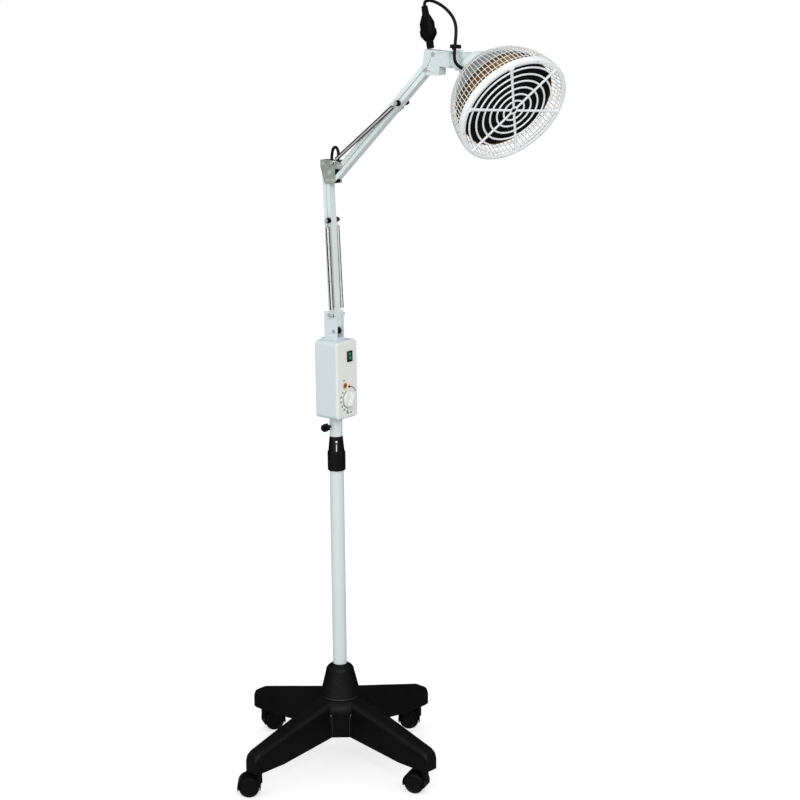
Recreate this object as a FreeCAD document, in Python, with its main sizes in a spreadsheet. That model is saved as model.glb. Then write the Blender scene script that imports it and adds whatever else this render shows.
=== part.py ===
import FreeCAD
import Part
import Sketcher
import math
import os
import re

# Infrared heat therapy lamp on a castor base. Millimetres, +Z up, origin on the floor under the post.
# The arm and the head point along -Y, and the control panel faces -Y.

Vec = FreeCAD.Vector

LEGS = 4
CASTOR_HEADINGS = ("castor_heading_1", "castor_heading_2", "castor_heading_3", "castor_heading_4")
GRIP_FLUTES = 24
KNOB_LOBES = 6
GRILLE_RINGS = 6
GRILLE_SPOKES = 6

SIZES = (
    # clearances
    ("running_gap", 0.1), ("fit_gap", 0.05), ("seat_gap", 0.15), ("moving_gap", 0.6),
    # base
    ("base_yaw", -4.1), ("hub_apothem", 55), ("hub_floor", 70), ("dome_radius", 60),
    ("dome_foot", 117), ("dome_edge", 122), ("dome_round", 21), ("hub_wall", 5),
    ("hub_boss_radius", 22), ("hub_boss_drop", 16), ("base_wall", 3), ("leg_root_radius", 45),
    ("leg_root_width", 47), ("leg_root_floor", 69), ("leg_root_top", 141.8),
    ("leg_belly_radius", 178), ("leg_belly_width", 38.5), ("leg_belly_floor", 52),
    ("leg_tip", 13), ("leg_shoulder_width", 34), ("leg_shoulder_floor", 50.5),
    ("leg_shoulder_top", 92), ("leg_end_radius", 249), ("leg_end_floor", 51), ("leg_end_top", 78),
    ("leg_end_width", 27), ("leg_corner", 9), ("socket_radius", 8.5), ("ballast_radius", 46),
    ("ballast_height", 54), ("bolt_radius", 5), ("bolt_head_radius", 8.5), ("bolt_head", 6.4),
    # hub cone
    ("cone_foot_radius", 41), ("cone_neck_radius", 28.7), ("cone_height", 50), ("cone_shoulder", 12),
    ("cone_round", 11), ("cone_wall", 2.5), ("cone_cap", 16),
    # castors
    ("castor_inset", 19), ("castor_trail", 18), ("wheel_radius", 20), ("wheel_width", 12.8),
    ("wheel_dish", 1.2), ("castor_web", 5.4), ("wheel_side_gap", 0.5), ("hood_gap", 0.9),
    ("hood_wall", 2.2), ("hood_width", 31), ("hood_drop", 5.5), ("axle_radius", 3),
    ("stem_radius", 5.5), ("stem_boss_radius", 8), ("stem_boss_top", 47), ("stem_top", 72),
    ("castor_heading_1", 128), ("castor_heading_2", -32), ("castor_heading_3", 131),
    ("castor_heading_4", 107),
    # post
    ("lower_outer", 28), ("lower_wall", 1.4), ("lower_top", 640), ("plug_height", 12),
    ("inner_outer", 22), ("inner_wall", 1.5), ("inner_bottom", 250), ("inner_reach", 107),
    ("collet_length", 50), ("collet_flange", 6), ("collet_flange_radius", 15), ("collet_cone", 15),
    ("ring_radius", 17.8), ("ring_drop", 28), ("ring_grip", 38), ("ring_neck_radius", 16),
    ("ring_top_radius", 13.2), ("ring_height", 69), ("ring_lip", 1.5), ("ring_roof", 15),
    ("flute_radius", 1.2),
    # sleeve and its screw
    ("sleeve_outer", 25.4), ("sleeve_gap", 2), ("sleeve_flange_radius", 20),
    ("sleeve_flange", 3), ("sleeve_cap", 3), ("screw_rise", 20), ("screw_boss_radius", 5),
    ("screw_boss", 4), ("screw_radius", 2.5), ("knob_near", 26), ("knob_length", 12),
    ("knob_core", 6.4), ("knob_lobe_radius", 2.5), ("knob_lobe_ring", 5.7),
    # control box
    ("box_width", 62), ("box_front", 31.8), ("box_rear", 25.5), ("box_rise", 38),
    ("box_height", 154), ("box_split", 20), ("box_wall", 2), ("box_corner", 8),
    ("box_front_round", 4.5), ("box_rear_round", 3), ("boss_radius", 3.5), ("boss_inset", 7),
    ("boss_rise", 8), ("screw_shank", 1.5), ("screw_head", 2.8), ("screw_head_height", 1.8),
    ("screw_depth", 12), ("switch_x", 7.1), ("switch_rise", 122.6), ("bezel_width", 15),
    ("bezel_height", 21), ("bezel_thickness", 1.5), ("bezel_lip", 1), ("switch_depth", 19),
    ("rocker_width", 10), ("rocker_half", 7.4), ("rocker_side_gap", 0.3), ("rocker_end_gap", 1.1),
    ("rocker_depth", 2.2), ("rocker_crown", 3.4), ("rocker_tilt", 10), ("rocker_keel", 3.5),
    ("trunnion_radius", 1.2), ("trunnion_length", 0.8), ("lens_x", -8.1), ("lens_rise", 66.5),
    ("lens_radius", 4.6), ("lens_height", 3.4), ("lens_stem_radius", 3.8), ("lens_stem", 8),
    ("timer_x", 4), ("timer_rise", 38), ("timer_radius", 17), ("timer_depth", 14), ("dial_radius", 17),
    ("dial_foot", 0.6), ("dial_skirt", 4), ("dial_bar_width", 9.5), ("dial_bar_height", 10.5),
    ("dial_tilt", 20), ("dial_draft", 6), ("shaft_radius", 3), ("shaft_depth", 13), ("inlet_rise", 124),
    ("inlet_width", 27), ("inlet_height", 20), ("inlet_depth", 17), ("inlet_flange", 1.5),
    ("inlet_rim", 2), ("inlet_cavity_width", 22.5), ("inlet_cavity_height", 15.5),
    ("inlet_cavity_depth", 14), ("blade_width", 4), ("blade_thickness", 2), ("blade_length", 11),
    ("blade_spread", 7), ("block_rise", 85), ("block_width", 30), ("block_depth", 12),
    ("block_height", 14), ("block_hole", 1.6),
    # fork
    ("fork_front", 16), ("fork_rear", 16.8), ("fork_flange", 3), ("fork_flange_side", 4.5),
    ("fork_flange_rear", 23.5), ("fork_height", 53), ("plate_thickness", 2), ("plate_gap", 17.2),
    ("fork_corner", 2), ("swivel_radius", 4), ("swivel_head_radius", 6.5), ("swivel_head", 4),
    ("swivel_nut_radius", 7), ("swivel_nut", 6), ("fork_pivot_y", -8), ("fork_pivot_rise", 14.2),
    ("link_length", 33), ("pin_radius", 2.5), ("pin_head_radius", 4), ("pin_head", 1.6),
    ("anchor_radius", 2), ("fork_anchor_rise", 46), ("anchor_reach", 19.4), ("anchor_head", 1.2),
    ("anchor_head_radius", 3.4),
    # arms
    ("bar_width", 16), ("bar_depth", 8), ("bar_wall", 1.5), ("bar_overhang", 4.75), ("bar_notch", 9),
    ("lower_length", 293), ("lower_lean", 2.3), ("upper_length", 311.4), ("upper_lean", 47.2),
    ("link_offset", 16.2), ("lower_spring_at", 216.5), ("upper_spring_at", 222), ("spring_x", 14.8),
    ("spring_radius", 3.9), ("spring_wire", 0.9), ("spring_hook", 11.5), ("spring_eye", 3.5),
    ("collar_radius", 5), ("collar_length", 2.4),
    # elbow
    ("elbow_gap_y", 14.8), ("elbow_gap_z", 0.6), ("elbow_margin", 5.5), ("elbow_top", 8.2),
    ("elbow_anchor_back", 4), ("elbow_anchor_drop", 4), ("elbow_web_near", 4), ("elbow_web", 1.8),
    ("spacer_floor", 9), ("spacer_roof", 33), ("spacer_rear", 0.8), ("spacer_front", 23.8),
    ("spacer_foot_front", 16.3), ("spacer_step", 18), ("spacer_side_gap", 0.1), ("rivet_back", 6.8),
    ("rivet_rise", 15.9), ("rivet_radius", 2),
    # head bracket
    ("heel_back", 8.5), ("heel_rise", 5), ("crown_back", 4), ("crown_rise", 37),
    ("nose_reach", 53.5), ("nose_high", 33), ("nose_low", 3.5), ("foot_reach", 28.5),
    ("foot_drop", 9), ("foot_rise", 7), ("bracket_web", 1.8), ("swivel_reach", 66.5),
    ("tongue_width", 16), ("tongue_rise", 6.7), ("tongue_height", 22), ("tongue_radius", 9),
    ("yaw_bolt_radius", 4), ("yaw_head_radius", 7), ("yaw_head", 4),
    # yoke
    ("head_yaw", 16.4), ("head_roll", 123.1), ("tilt_reach", 23), ("tilt_rise", 17),
    ("yoke_plate", 3), ("yoke_radius", 10.5), ("yoke_web_at", 12), ("ear_gap", 14),
    ("ear_thickness", 3), ("ear_radius", 8.5), ("tilt_bolt_radius", 3), ("tilt_head_radius", 6),
    ("tilt_head", 3),
    # head, measured from the tilt axis along the head's own axis
    ("lug_width", 13.6), ("lug_radius", 7.5), ("cup_back", 21), ("cup_radius", 31), ("cup_round", 8),
    ("cup_front", 47), ("cup_wall", 2), ("guard_start", 40), ("guard_collar", 47),
    ("guard_wall", 0.8), ("guard_mid_radius", 69.5), ("guard_mid_at", 73),
    ("guard_waist_radius", 95), ("guard_waist_at", 110), ("head_radius", 105), ("rim_rear", 153),
    ("rim_front", 163), ("rim_band", 9), ("rim_wall", 1.3), ("guard_neck_arc", 95),
    ("guard_mid_arc", 112), ("guard_rim_arc", 136), ("grille_ring_first", 20.3),
    ("grille_ring_step", 13.6), ("grille_centre", 6.5), ("grille_wire", 3), ("grille_depth", 2.4),
    ("grille_spoke", 3.4), ("spoke_phase", -4), ("pan_radius", 88), ("pan_back", 121),
    ("pan_front", 142), ("pan_wall", 1.4), ("plate_at", 135), ("plate_depth", 3),
    ("plate_clearance", 0.6), ("element_radius", 70), ("shield_back", 50),
    ("shield_back_radius", 26), ("shield_wall", 1), ("shield_arc", 110), ("stud_radius", 3),
    ("spacer_tube", 2),
    # in-line connector
    ("inline_back", 3), ("inline_lean", 10.3), ("boot_radius", 6.6), ("boot_length", 13),
    ("boot_tip", 5.4), ("inline_width", 30), ("inline_depth", 21), ("inline_slim", 14),
    ("inline_chamfer", 5), ("plug_taper", 11), ("plug_straight", 10), ("socket_straight", 12),
    ("socket_taper", 14), ("socket_boot", 16.5), ("socket_rib", 1.2),
    # leads
    ("lead_radius", 2.9), ("lead_hole_depth", 7), ("clip_radius", 4.4), ("clip_width", 6),
    ("clip_tab", 7), ("clip_tab_width", 5), ("clip_tab_depth", 3), ("clip_x", -25),
    ("clip_y", -316.5), ("clip_z", 1440), ("clip_yaw", 40), ("clip_pitch", 5.8), ("clip_roll", 1.1),
)

PLACES = (
    # places worked out from the sizes
    ("dome_top", "dome_edge + dome_round"),
    ("ballast_top", "dome_top - hub_boss_drop"),
    ("ballast_floor", "ballast_top - ballast_height"),
    ("cone_top", "dome_top + cone_height + cone_cap"),
    ("post_bore", "lower_outer / 2 - lower_wall"),
    ("inner_radius", "inner_outer / 2"),
    ("leg_shoulder_radius", "leg_end_radius - leg_tip"),
    ("castor_radius", "leg_end_radius - castor_inset"),
    ("ring_bottom", "lower_top - ring_drop"),
    ("ring_top", "ring_bottom + ring_height"),
    ("sleeve_bottom", "ring_top + sleeve_gap"),
    ("inner_top", "sleeve_bottom + inner_reach"),
    ("screw_height", "sleeve_bottom + screw_rise"),
    ("box_bottom", "sleeve_bottom + box_rise"),
    ("switch_z", "box_bottom + switch_rise"),
    ("lens_z", "box_bottom + lens_rise"),
    ("timer_z", "box_bottom + timer_rise"),
    ("inlet_z", "box_bottom + inlet_rise"),
    ("block_z", "box_bottom + block_rise"),
    ("box_top", "box_bottom + box_height"),
    ("box_middle", "box_bottom + box_height / 2"),
    ("fork_floor", "box_top + seat_gap"),
    ("fork_bed", "fork_floor + fork_flange + plate_thickness"),
    ("plate_half", "plate_gap / 2 + plate_thickness"),
    ("fork_pivot_z", "fork_bed - plate_thickness + fork_pivot_rise"),
    ("lower_angle", "90 - lower_lean"),
    ("upper_angle", "90 + upper_lean"),
    ("fork_link_y", "fork_pivot_y + link_length * cos(lower_angle - link_offset)"),
    ("fork_link_z", "fork_pivot_z + link_length * sin(lower_angle - link_offset)"),
    ("fork_anchor_z", "fork_bed - plate_thickness + fork_anchor_rise"),
    ("elbow_y", "fork_pivot_y + lower_length * cos(lower_angle)"),
    ("elbow_z", "fork_pivot_z + lower_length * sin(lower_angle)"),
    ("elbow_link_y", "fork_link_y + lower_length * cos(lower_angle)"),
    ("elbow_link_z", "fork_link_z + lower_length * sin(lower_angle)"),
    ("shoulder_y", "elbow_y - elbow_gap_y"),
    ("shoulder_z", "elbow_z + elbow_gap_z"),
    ("shoulder_link_y", "shoulder_y + link_length * cos(upper_angle - link_offset)"),
    ("shoulder_link_z", "shoulder_z + link_length * sin(upper_angle - link_offset)"),
    ("wrist_y", "shoulder_y + upper_length * cos(upper_angle)"),
    ("wrist_z", "shoulder_z + upper_length * sin(upper_angle)"),
    ("wrist_link_y", "shoulder_link_y + upper_length * cos(upper_angle)"),
    ("wrist_link_z", "shoulder_link_z + upper_length * sin(upper_angle)"),
    ("elbow_crown", "elbow_link_z + elbow_top"),
    ("elbow_anchor_y", "shoulder_y - elbow_anchor_back"),
    ("elbow_anchor_z", "elbow_crown - elbow_anchor_drop"),
    ("rivet_y", "elbow_y - rivet_back"),
    ("rivet_z", "elbow_z + rivet_rise"),
    ("bracket_top", "wrist_z + crown_rise"),
    ("head_swivel_y", "wrist_y - swivel_reach"),
    ("tongue_floor", "wrist_z + tongue_rise"),
    ("tilt_height", "tongue_floor + tilt_rise"),
    ("inline_y", "wrist_y - inline_back"),
    ("lower_pin_y", "fork_pivot_y + lower_spring_at * cos(lower_angle)"),
    ("lower_pin_z", "fork_pivot_z + lower_spring_at * sin(lower_angle)"),
    ("upper_pin_y", "shoulder_y + upper_spring_at * cos(upper_angle)"),
    ("upper_pin_z", "shoulder_z + upper_spring_at * sin(upper_angle)"),
    ("lower_spring_length",
     "sqrt(pow(lower_pin_y - fork_pivot_y; 2) + pow(lower_pin_z - fork_anchor_z; 2))"),
    ("lower_spring_roll", "asin((fork_pivot_y - lower_pin_y) / lower_spring_length) / 1 deg"),
    ("upper_spring_length",
     "sqrt(pow(upper_pin_y - elbow_anchor_y; 2) + pow(upper_pin_z - elbow_anchor_z; 2))"),
    ("upper_spring_roll", "asin((elbow_anchor_y - upper_pin_y) / upper_spring_length) / 1 deg"),
    ("tilt_x", "-tilt_reach * sin(head_yaw)"),
    ("tilt_y", "head_swivel_y - tilt_reach * cos(head_yaw)"),
    ("yoke_floor", "tongue_floor - running_gap - yoke_plate"),
    ("yoke_top", "tongue_floor + tongue_height + running_gap + yoke_plate"),
    ("rim_inner", "head_radius - rim_band"),
    ("plug_face", "boot_length + plug_taper + plug_straight"),
    ("inline_floor", "bracket_top + boot_radius * sin(inline_lean) + fit_gap"),
)

# Middle line of the heater lead, from the in-line connector to the wire guard beside the neck.
HEAD_LEAD = (
    (0.0, -229.96, 1504.5),
    (0.0, -228.08, 1514.8),
    (-1.0, -233.2, 1520.0),
    (-3.0, -246.0, 1520.4),
    (-6.0, -262.0, 1516.2),
    (-9.5, -279.0, 1509.5),
    (-14.0, -296.0, 1499.5),
    (-19.0, -310.5, 1487.0),
    (-22.5, -317.5, 1473.0),
    (-24.5, -318.2, 1456.5),
    (-25.0, -316.5, 1440.0),
    (-26.2, -315.8, 1428.0),
    (-30.5, -319.6, 1418.5),
    (-38.5, -328.0, 1412.0),
    (-47.0, -340.0, 1407.2),
    (-50.8, -351.0, 1403.4),
    (-51.6, -358.2, 1400.8),
)

# Middle line of the lead's loop at the elbow, from the rear hole to the front hole of the guide block.
ELBOW_LEAD = (
    (0.0, -0.6, 1212.5),
    (0.0, -0.6, 1225.0),
    (0.0, -1.8, 1238.5),
    (0.0, -6.2, 1248.5),
    (0.0, -14.0, 1249.0),
    (0.0, -18.6, 1238.5),
    (0.0, -16.2, 1225.0),
    (0.0, -16.2, 1212.5),
)

doc = FreeCAD.newDocument("HeatLamp")
sheet = doc.addObject("Spreadsheet::Sheet", "Sizes")
places = doc.addObject("App::VarSet", "Places")
size_names = set()
place_names = set()
nodes = []


def formula(text):
    """The text with the name of each size and place written as the document knows it."""
    def full(match):
        word = match.group(0)
        if word in size_names:
            return "Sizes." + word
        if word in place_names:
            return "Places." + word
        return word
    return re.sub(r"[a-z][a-z_0-9]*", full, str(text))


def number(text):
    """The value of an expression."""
    return float(sheet.evalExpression(formula(text)))


def write_sheet():
    for row, (name, value) in enumerate(SIZES, start=1):
        sheet.set("A%d" % row, name)
        sheet.set("B%d" % row, str(value))
        sheet.setAlias("B%d" % row, name)
        size_names.add(name)
    doc.recompute()
    for name, text in PLACES:
        places.addProperty("App::PropertyFloat", name, "Places", "")
        places.setExpression(name, formula(text))
        place_names.add(name)
        doc.recompute()


def place(thing, x=0, y=0, z=0, yaw=0, pitch=0, roll=0):
    """Binds a placement to expressions: the turn is roll about X, then pitch about Y, then yaw about Z."""
    for path, text in (("Base.x", x), ("Base.y", y), ("Base.z", z)):
        if text != 0:
            thing.setExpression("Placement." + path, formula(text))
    for path, text in (("Rotation.Yaw", yaw), ("Rotation.Pitch", pitch), ("Rotation.Roll", roll)):
        if text != 0:
            thing.setExpression("Placement." + path, formula(text))
    return thing


def node(thing, label):
    """Names a sub-part, which is written to a file of that name."""
    thing.Label = label
    nodes.append(thing)
    return thing


def new_body(name):
    return doc.addObject("PartDesign::Body", name)


def new_sketch(body, plane, offset=0):
    """A sketch on an origin plane of the body: XY, XZ (seen from -Y) or YZ, moved along its normal."""
    sketch = body.newObject("Sketcher::SketchObject", body.Name + "_sketch")
    for feature in body.Origin.OriginFeatures:
        if feature.Role == plane + "_Plane":
            sketch.AttachmentSupport = [(feature, "")]
    sketch.MapMode = "FlatFace"
    if offset != 0:
        sketch.setExpression("AttachmentOffset.Base.z", formula(offset))
    return sketch


def fix(sketch, kind, texts, *where):
    """One dimension of a sketch, bound to an expression."""
    index = sketch.addConstraint(Sketcher.Constraint(kind, *where, number(texts)))
    sketch.setExpression("Constraints[%d]" % index, formula(texts))


def outline(sketch, points, arcs=None):
    """A closed outline, anticlockwise. arcs gives the radius of the side that starts at a point:
    positive bulges outwards, negative inwards."""
    arcs = arcs or {}
    spots = [Vec(number(x), number(y), 0) for x, y in points]
    count = len(spots)
    starts = []
    shapes = []
    for index, start in enumerate(spots):
        end = spots[(index + 1) % count]
        if index not in arcs:
            shapes.append(Part.LineSegment(start, end))
            starts.append(1)
            continue
        radius = number(arcs[index])
        side = math.copysign(1, radius)
        half = (end - start) * 0.5
        left = Vec(-half.y, half.x, 0).normalize()
        centre = start + half + left * side * math.sqrt(radius ** 2 - half.Length ** 2)
        first, last = (start, end) if side > 0 else (end, start)
        angles = [math.atan2(spot.y - centre.y, spot.x - centre.x) for spot in (first, last)]
        circle = Part.Circle(centre, Vec(0, 0, 1), abs(radius))
        shapes.append(Part.ArcOfCircle(circle, angles[0], angles[1]))
        starts.append(1 if side > 0 else 2)
    first_shape = sketch.GeometryCount
    sketch.addGeometry(shapes, False)
    for index in range(count):
        here = first_shape + index
        before = first_shape + (index - 1) % count
        before_end = 3 - starts[(index - 1) % count]
        sketch.addConstraint(Sketcher.Constraint("Coincident", before, before_end, here, starts[index]))
        fix(sketch, "DistanceX", points[index][0], -1, 1, here, starts[index])
        fix(sketch, "DistanceY", points[index][1], -1, 1, here, starts[index])
        if index in arcs:
            fix(sketch, "Radius", "abs(%s)" % arcs[index], here)


def circle(sketch, x, y, radius):
    spot = Vec(number(x), number(y), 0)
    index = sketch.addGeometry(Part.Circle(spot, Vec(0, 0, 1), number(radius)), False)
    fix(sketch, "DistanceX", x, -1, 1, index, 3)
    fix(sketch, "DistanceY", y, -1, 1, index, 3)
    fix(sketch, "Radius", radius, index)


def rectangle(sketch, width, height, x="0", y="0", corner=None):
    """A rectangle about a centre, with rounded corners if a radius is given."""
    left, right = "(%s) - (%s) / 2" % (x, width), "(%s) + (%s) / 2" % (x, width)
    low, high = "(%s) - (%s) / 2" % (y, height), "(%s) + (%s) / 2" % (y, height)
    if corner is None:
        outline(sketch, ((left, low), (right, low), (right, high), (left, high)))
        return
    near = " + (%s)" % corner
    far = " - (%s)" % corner
    points = ((left + near, low), (right + far, low), (right, low + near), (right, high + far),
              (right + far, high), (left + near, high), (left, high + far), (left, low + near))
    outline(sketch, points, {1: corner, 3: corner, 5: corner, 7: corner})


def extrude(kind, body, sketch, length, both=False, back=False):
    """A Pad or Pocket. both takes half of the length to each side; back turns its direction round."""
    feature = body.newObject("PartDesign::" + kind, body.Name + "_" + kind)
    feature.Profile = sketch
    feature.SideType = "Symmetric" if both else "One side"
    feature.Reversed = back
    feature.setExpression("Length", formula(length))
    sketch.Visibility = False
    return feature


def pad(body, sketch, length, both=False, back=False):
    return extrude("Pad", body, sketch, length, both, back)


def pocket(body, sketch, length, both=False, back=False):
    return extrude("Pocket", body, sketch, length, both, back)


def polar(body, originals, count):
    """Repeats features about the body's Z axis."""
    pattern = body.newObject("PartDesign::PolarPattern", body.Name + "_pattern")
    pattern.Originals = originals
    for feature in body.Origin.OriginFeatures:
        if feature.Role == "Z_Axis":
            pattern.Axis = (feature, [""])
    pattern.Angle = 360
    pattern.Occurrences = count
    body.Tip = pattern
    return pattern


def turned(name, points, arcs=None):
    """A body turned about its Z axis from a half section of (radius, height) points."""
    body = new_body(name)
    sketch = new_sketch(body, "XZ")
    outline(sketch, points, arcs)
    feature = body.newObject("PartDesign::Revolution", name + "_turn")
    feature.Profile = sketch
    feature.ReferenceAxis = (sketch, ["V_Axis"])
    feature.Angle = 360
    return body


def groove(body, points, arcs=None):
    """Cuts a turned half section out of a body."""
    sketch = new_sketch(body, "XZ")
    outline(sketch, points, arcs)
    feature = body.newObject("PartDesign::Groove", body.Name + "_groove")
    feature.Profile = sketch
    feature.ReferenceAxis = (sketch, ["V_Axis"])
    feature.Angle = 360
    return feature


def tube(name, outer, inner, low, high):
    return turned(name, ((inner, low), (outer, low), (outer, high), (inner, high)))


def pin(name, radius, head_radius, head, half, collar=None, collar_from="0"):
    """A cross pin along its Z axis with a head at each end, and round collars if a length is given."""
    side = [("0", "-(%s)" % half), (head_radius, "-(%s)" % half), (head_radius, "(%s) - (%s)" % (head, half)),
            (radius, "(%s) - (%s)" % (head, half))]
    if collar:
        low, high = "(%s)" % collar_from, "(%s) + (%s)" % (collar_from, collar)
        side += [(radius, "-(%s)" % high), ("collar_radius", "-(%s)" % high), ("collar_radius", "-" + low),
                 (radius, "-" + low), (radius, low), ("collar_radius", low), ("collar_radius", high),
                 (radius, high)]
    side += [(radius, "(%s) - (%s)" % (half, head)), (head_radius, "(%s) - (%s)" % (half, head)),
             (head_radius, half), ("0", half)]
    return turned(name, side)


def group(name, members):
    thing = doc.addObject("Part::Compound", name)
    thing.Links = members
    return thing


def loft(body, sections, cut=False):
    kind = "SubtractiveLoft" if cut else "AdditiveLoft"
    feature = body.newObject("PartDesign::" + kind, body.Name + "_loft")
    feature.Profile = sections[0]
    feature.Sections = sections[1:]
    feature.Ruled = True
    return feature


def cross_hole(body, spots, radius, width):
    """Holes along X through a body at (y, z) spots."""
    sketch = new_sketch(body, "YZ")
    for y, z in spots:
        circle(sketch, y, z, radius)
    return pocket(body, sketch, width, both=True)


# ---------------------------------------------------------------- base

def leg_section(body, radius, width, floor, top, corner):
    """A cross section of a leg at a radius: straight sides and a top with rounded corners."""
    sketch = new_sketch(body, "YZ", radius)
    half = "(%s) / 2" % width
    points = (("-" + half, floor), (half, floor), (half, "(%s) - (%s)" % (top, corner)),
              ("%s - (%s)" % (half, corner), top), ("(%s) - %s" % (corner, half), top),
              ("-" + half, "(%s) - (%s)" % (top, corner)))
    outline(sketch, points, {2: corner, 4: corner})
    return sketch


def make_star_base():
    body = new_body("star_base")
    reach = "hub_apothem * sqrt(2)"
    square = new_sketch(body, "XY", "hub_floor")
    outline(square, ((reach, "0"), ("0", reach), ("-" + reach, "0"), ("0", "-" + reach)))
    pad(body, square, "dome_edge - hub_floor")
    dome = new_sketch(body, "XZ")
    outline(dome, (("0", "dome_foot"), ("dome_radius", "dome_foot"), ("dome_radius", "dome_edge"),
                   ("dome_radius - dome_round", "dome_top"), ("0", "dome_top")), {2: "dome_round"})
    turn = body.newObject("PartDesign::Revolution", "star_base_dome")
    turn.Profile = dome
    turn.ReferenceAxis = (dome, ["V_Axis"])
    turn.Angle = 360
    outer = loft(body, [
        leg_section(body, "leg_root_radius", "leg_root_width", "leg_root_floor", "leg_root_top",
                    "leg_corner"),
        leg_section(body, "leg_belly_radius", "leg_belly_width", "leg_belly_floor",
                    "leg_root_top + (leg_shoulder_top - leg_root_top) * (leg_belly_radius - leg_root_radius)"
                    " / (leg_shoulder_radius - leg_root_radius)", "leg_corner"),
        leg_section(body, "leg_shoulder_radius", "leg_shoulder_width", "leg_shoulder_floor",
                    "leg_shoulder_top", "leg_corner"),
        leg_section(body, "leg_shoulder_radius + (leg_end_radius - leg_shoulder_radius) * 0.65",
                    "leg_shoulder_width * 0.6 + leg_end_width * 0.4",
                    "leg_shoulder_floor * 0.35 + leg_end_floor * 0.65",
                    "leg_shoulder_top * 0.65 + leg_end_top * 0.35", "leg_corner * 0.9"),
        leg_section(body, "leg_end_radius", "leg_end_width", "leg_end_floor", "leg_end_top",
                    "leg_corner * 0.6"),
    ])
    polar(body, [outer], LEGS)
    inner = loft(body, [
        leg_section(body, "leg_root_radius - base_wall", "leg_root_width - 2 * base_wall",
                    "leg_root_floor - base_wall", "leg_root_top - 2 * base_wall", "leg_corner - base_wall"),
        leg_section(body, "leg_belly_radius", "leg_belly_width - 2 * base_wall",
                    "leg_belly_floor - base_wall",
                    "leg_root_top + (leg_shoulder_top - leg_root_top) * (leg_belly_radius - leg_root_radius)"
                    " / (leg_shoulder_radius - leg_root_radius) - base_wall", "leg_corner - base_wall"),
        leg_section(body, "leg_shoulder_radius", "leg_shoulder_width - 2 * base_wall",
                    "leg_shoulder_floor - 2 * base_wall", "leg_shoulder_top - base_wall",
                    "leg_corner - base_wall"),
        leg_section(body, "leg_end_radius - 2 * base_wall", "leg_end_width - base_wall",
                    "leg_end_floor - 3 * base_wall", "leg_end_top", "leg_corner - base_wall"),
    ], cut=True)
    polar(body, [inner], LEGS)
    groove(body, (("0", "hub_floor - base_wall"), ("hub_apothem - hub_wall", "hub_floor - base_wall"),
                  ("hub_apothem - hub_wall", "ballast_top + moving_gap"),
                  ("dome_radius - dome_round", "dome_top - hub_wall"), ("0", "dome_top - hub_wall")))
    boss = new_sketch(body, "XY", "ballast_top")
    circle(boss, "0", "0", "hub_boss_radius")
    pad(body, boss, "hub_boss_drop - hub_wall / 2")
    bolt_hole = new_sketch(body, "XY", "dome_top + 1")
    circle(bolt_hole, "0", "0", "bolt_radius + running_gap")
    pocket(body, bolt_hole, "hub_boss_drop + 2")
    socket = new_sketch(body, "XY", "stem_boss_top + moving_gap")
    circle(socket, "castor_radius", "0", "socket_radius")
    socket_pad = pad(body, socket, "leg_shoulder_top - base_wall / 2 - stem_boss_top - moving_gap")
    polar(body, [socket_pad], LEGS)
    stem_hole = new_sketch(body, "XY", "stem_top + moving_gap")
    circle(stem_hole, "castor_radius", "0", "stem_radius + running_gap")
    stem_pocket = pocket(body, stem_hole, "stem_top + moving_gap - stem_boss_top")
    polar(body, [stem_pocket], LEGS)
    place(body, yaw="base_yaw")
    node(body, "star_base")


def make_hub_cone():
    bore = "lower_outer / 2 + seat_gap"
    neck_z = "dome_top + cone_height"
    body = turned("hub_cone", (
        ("cone_foot_radius - cone_wall", "dome_top"), ("cone_foot_radius", "dome_top"),
        ("cone_neck_radius", neck_z), ("cone_neck_radius - cone_round * 0.75", neck_z + " + cone_shoulder"),
        (bore, "cone_top"), (bore, neck_z + " - cone_wall"),
        ("cone_neck_radius - 2 * cone_wall", neck_z + " - 2 * cone_wall")), {2: "cone_round * 1.25"})
    node(body, "hub_cone")


def make_ballast():
    bore = "bolt_radius + running_gap"
    node(tube("ballast_weight", "ballast_radius", bore, "ballast_floor", "ballast_top"), "ballast_weight")


def make_base_bolt():
    top = "dome_top + plug_height - moving_gap"
    body = turned("base_bolt", (
        ("0", "ballast_floor - bolt_head"), ("bolt_head_radius", "ballast_floor - bolt_head"),
        ("bolt_head_radius", "ballast_floor"), ("bolt_radius", "ballast_floor"), ("bolt_radius", top),
        ("0", top)))
    node(body, "base_bolt")


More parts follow.
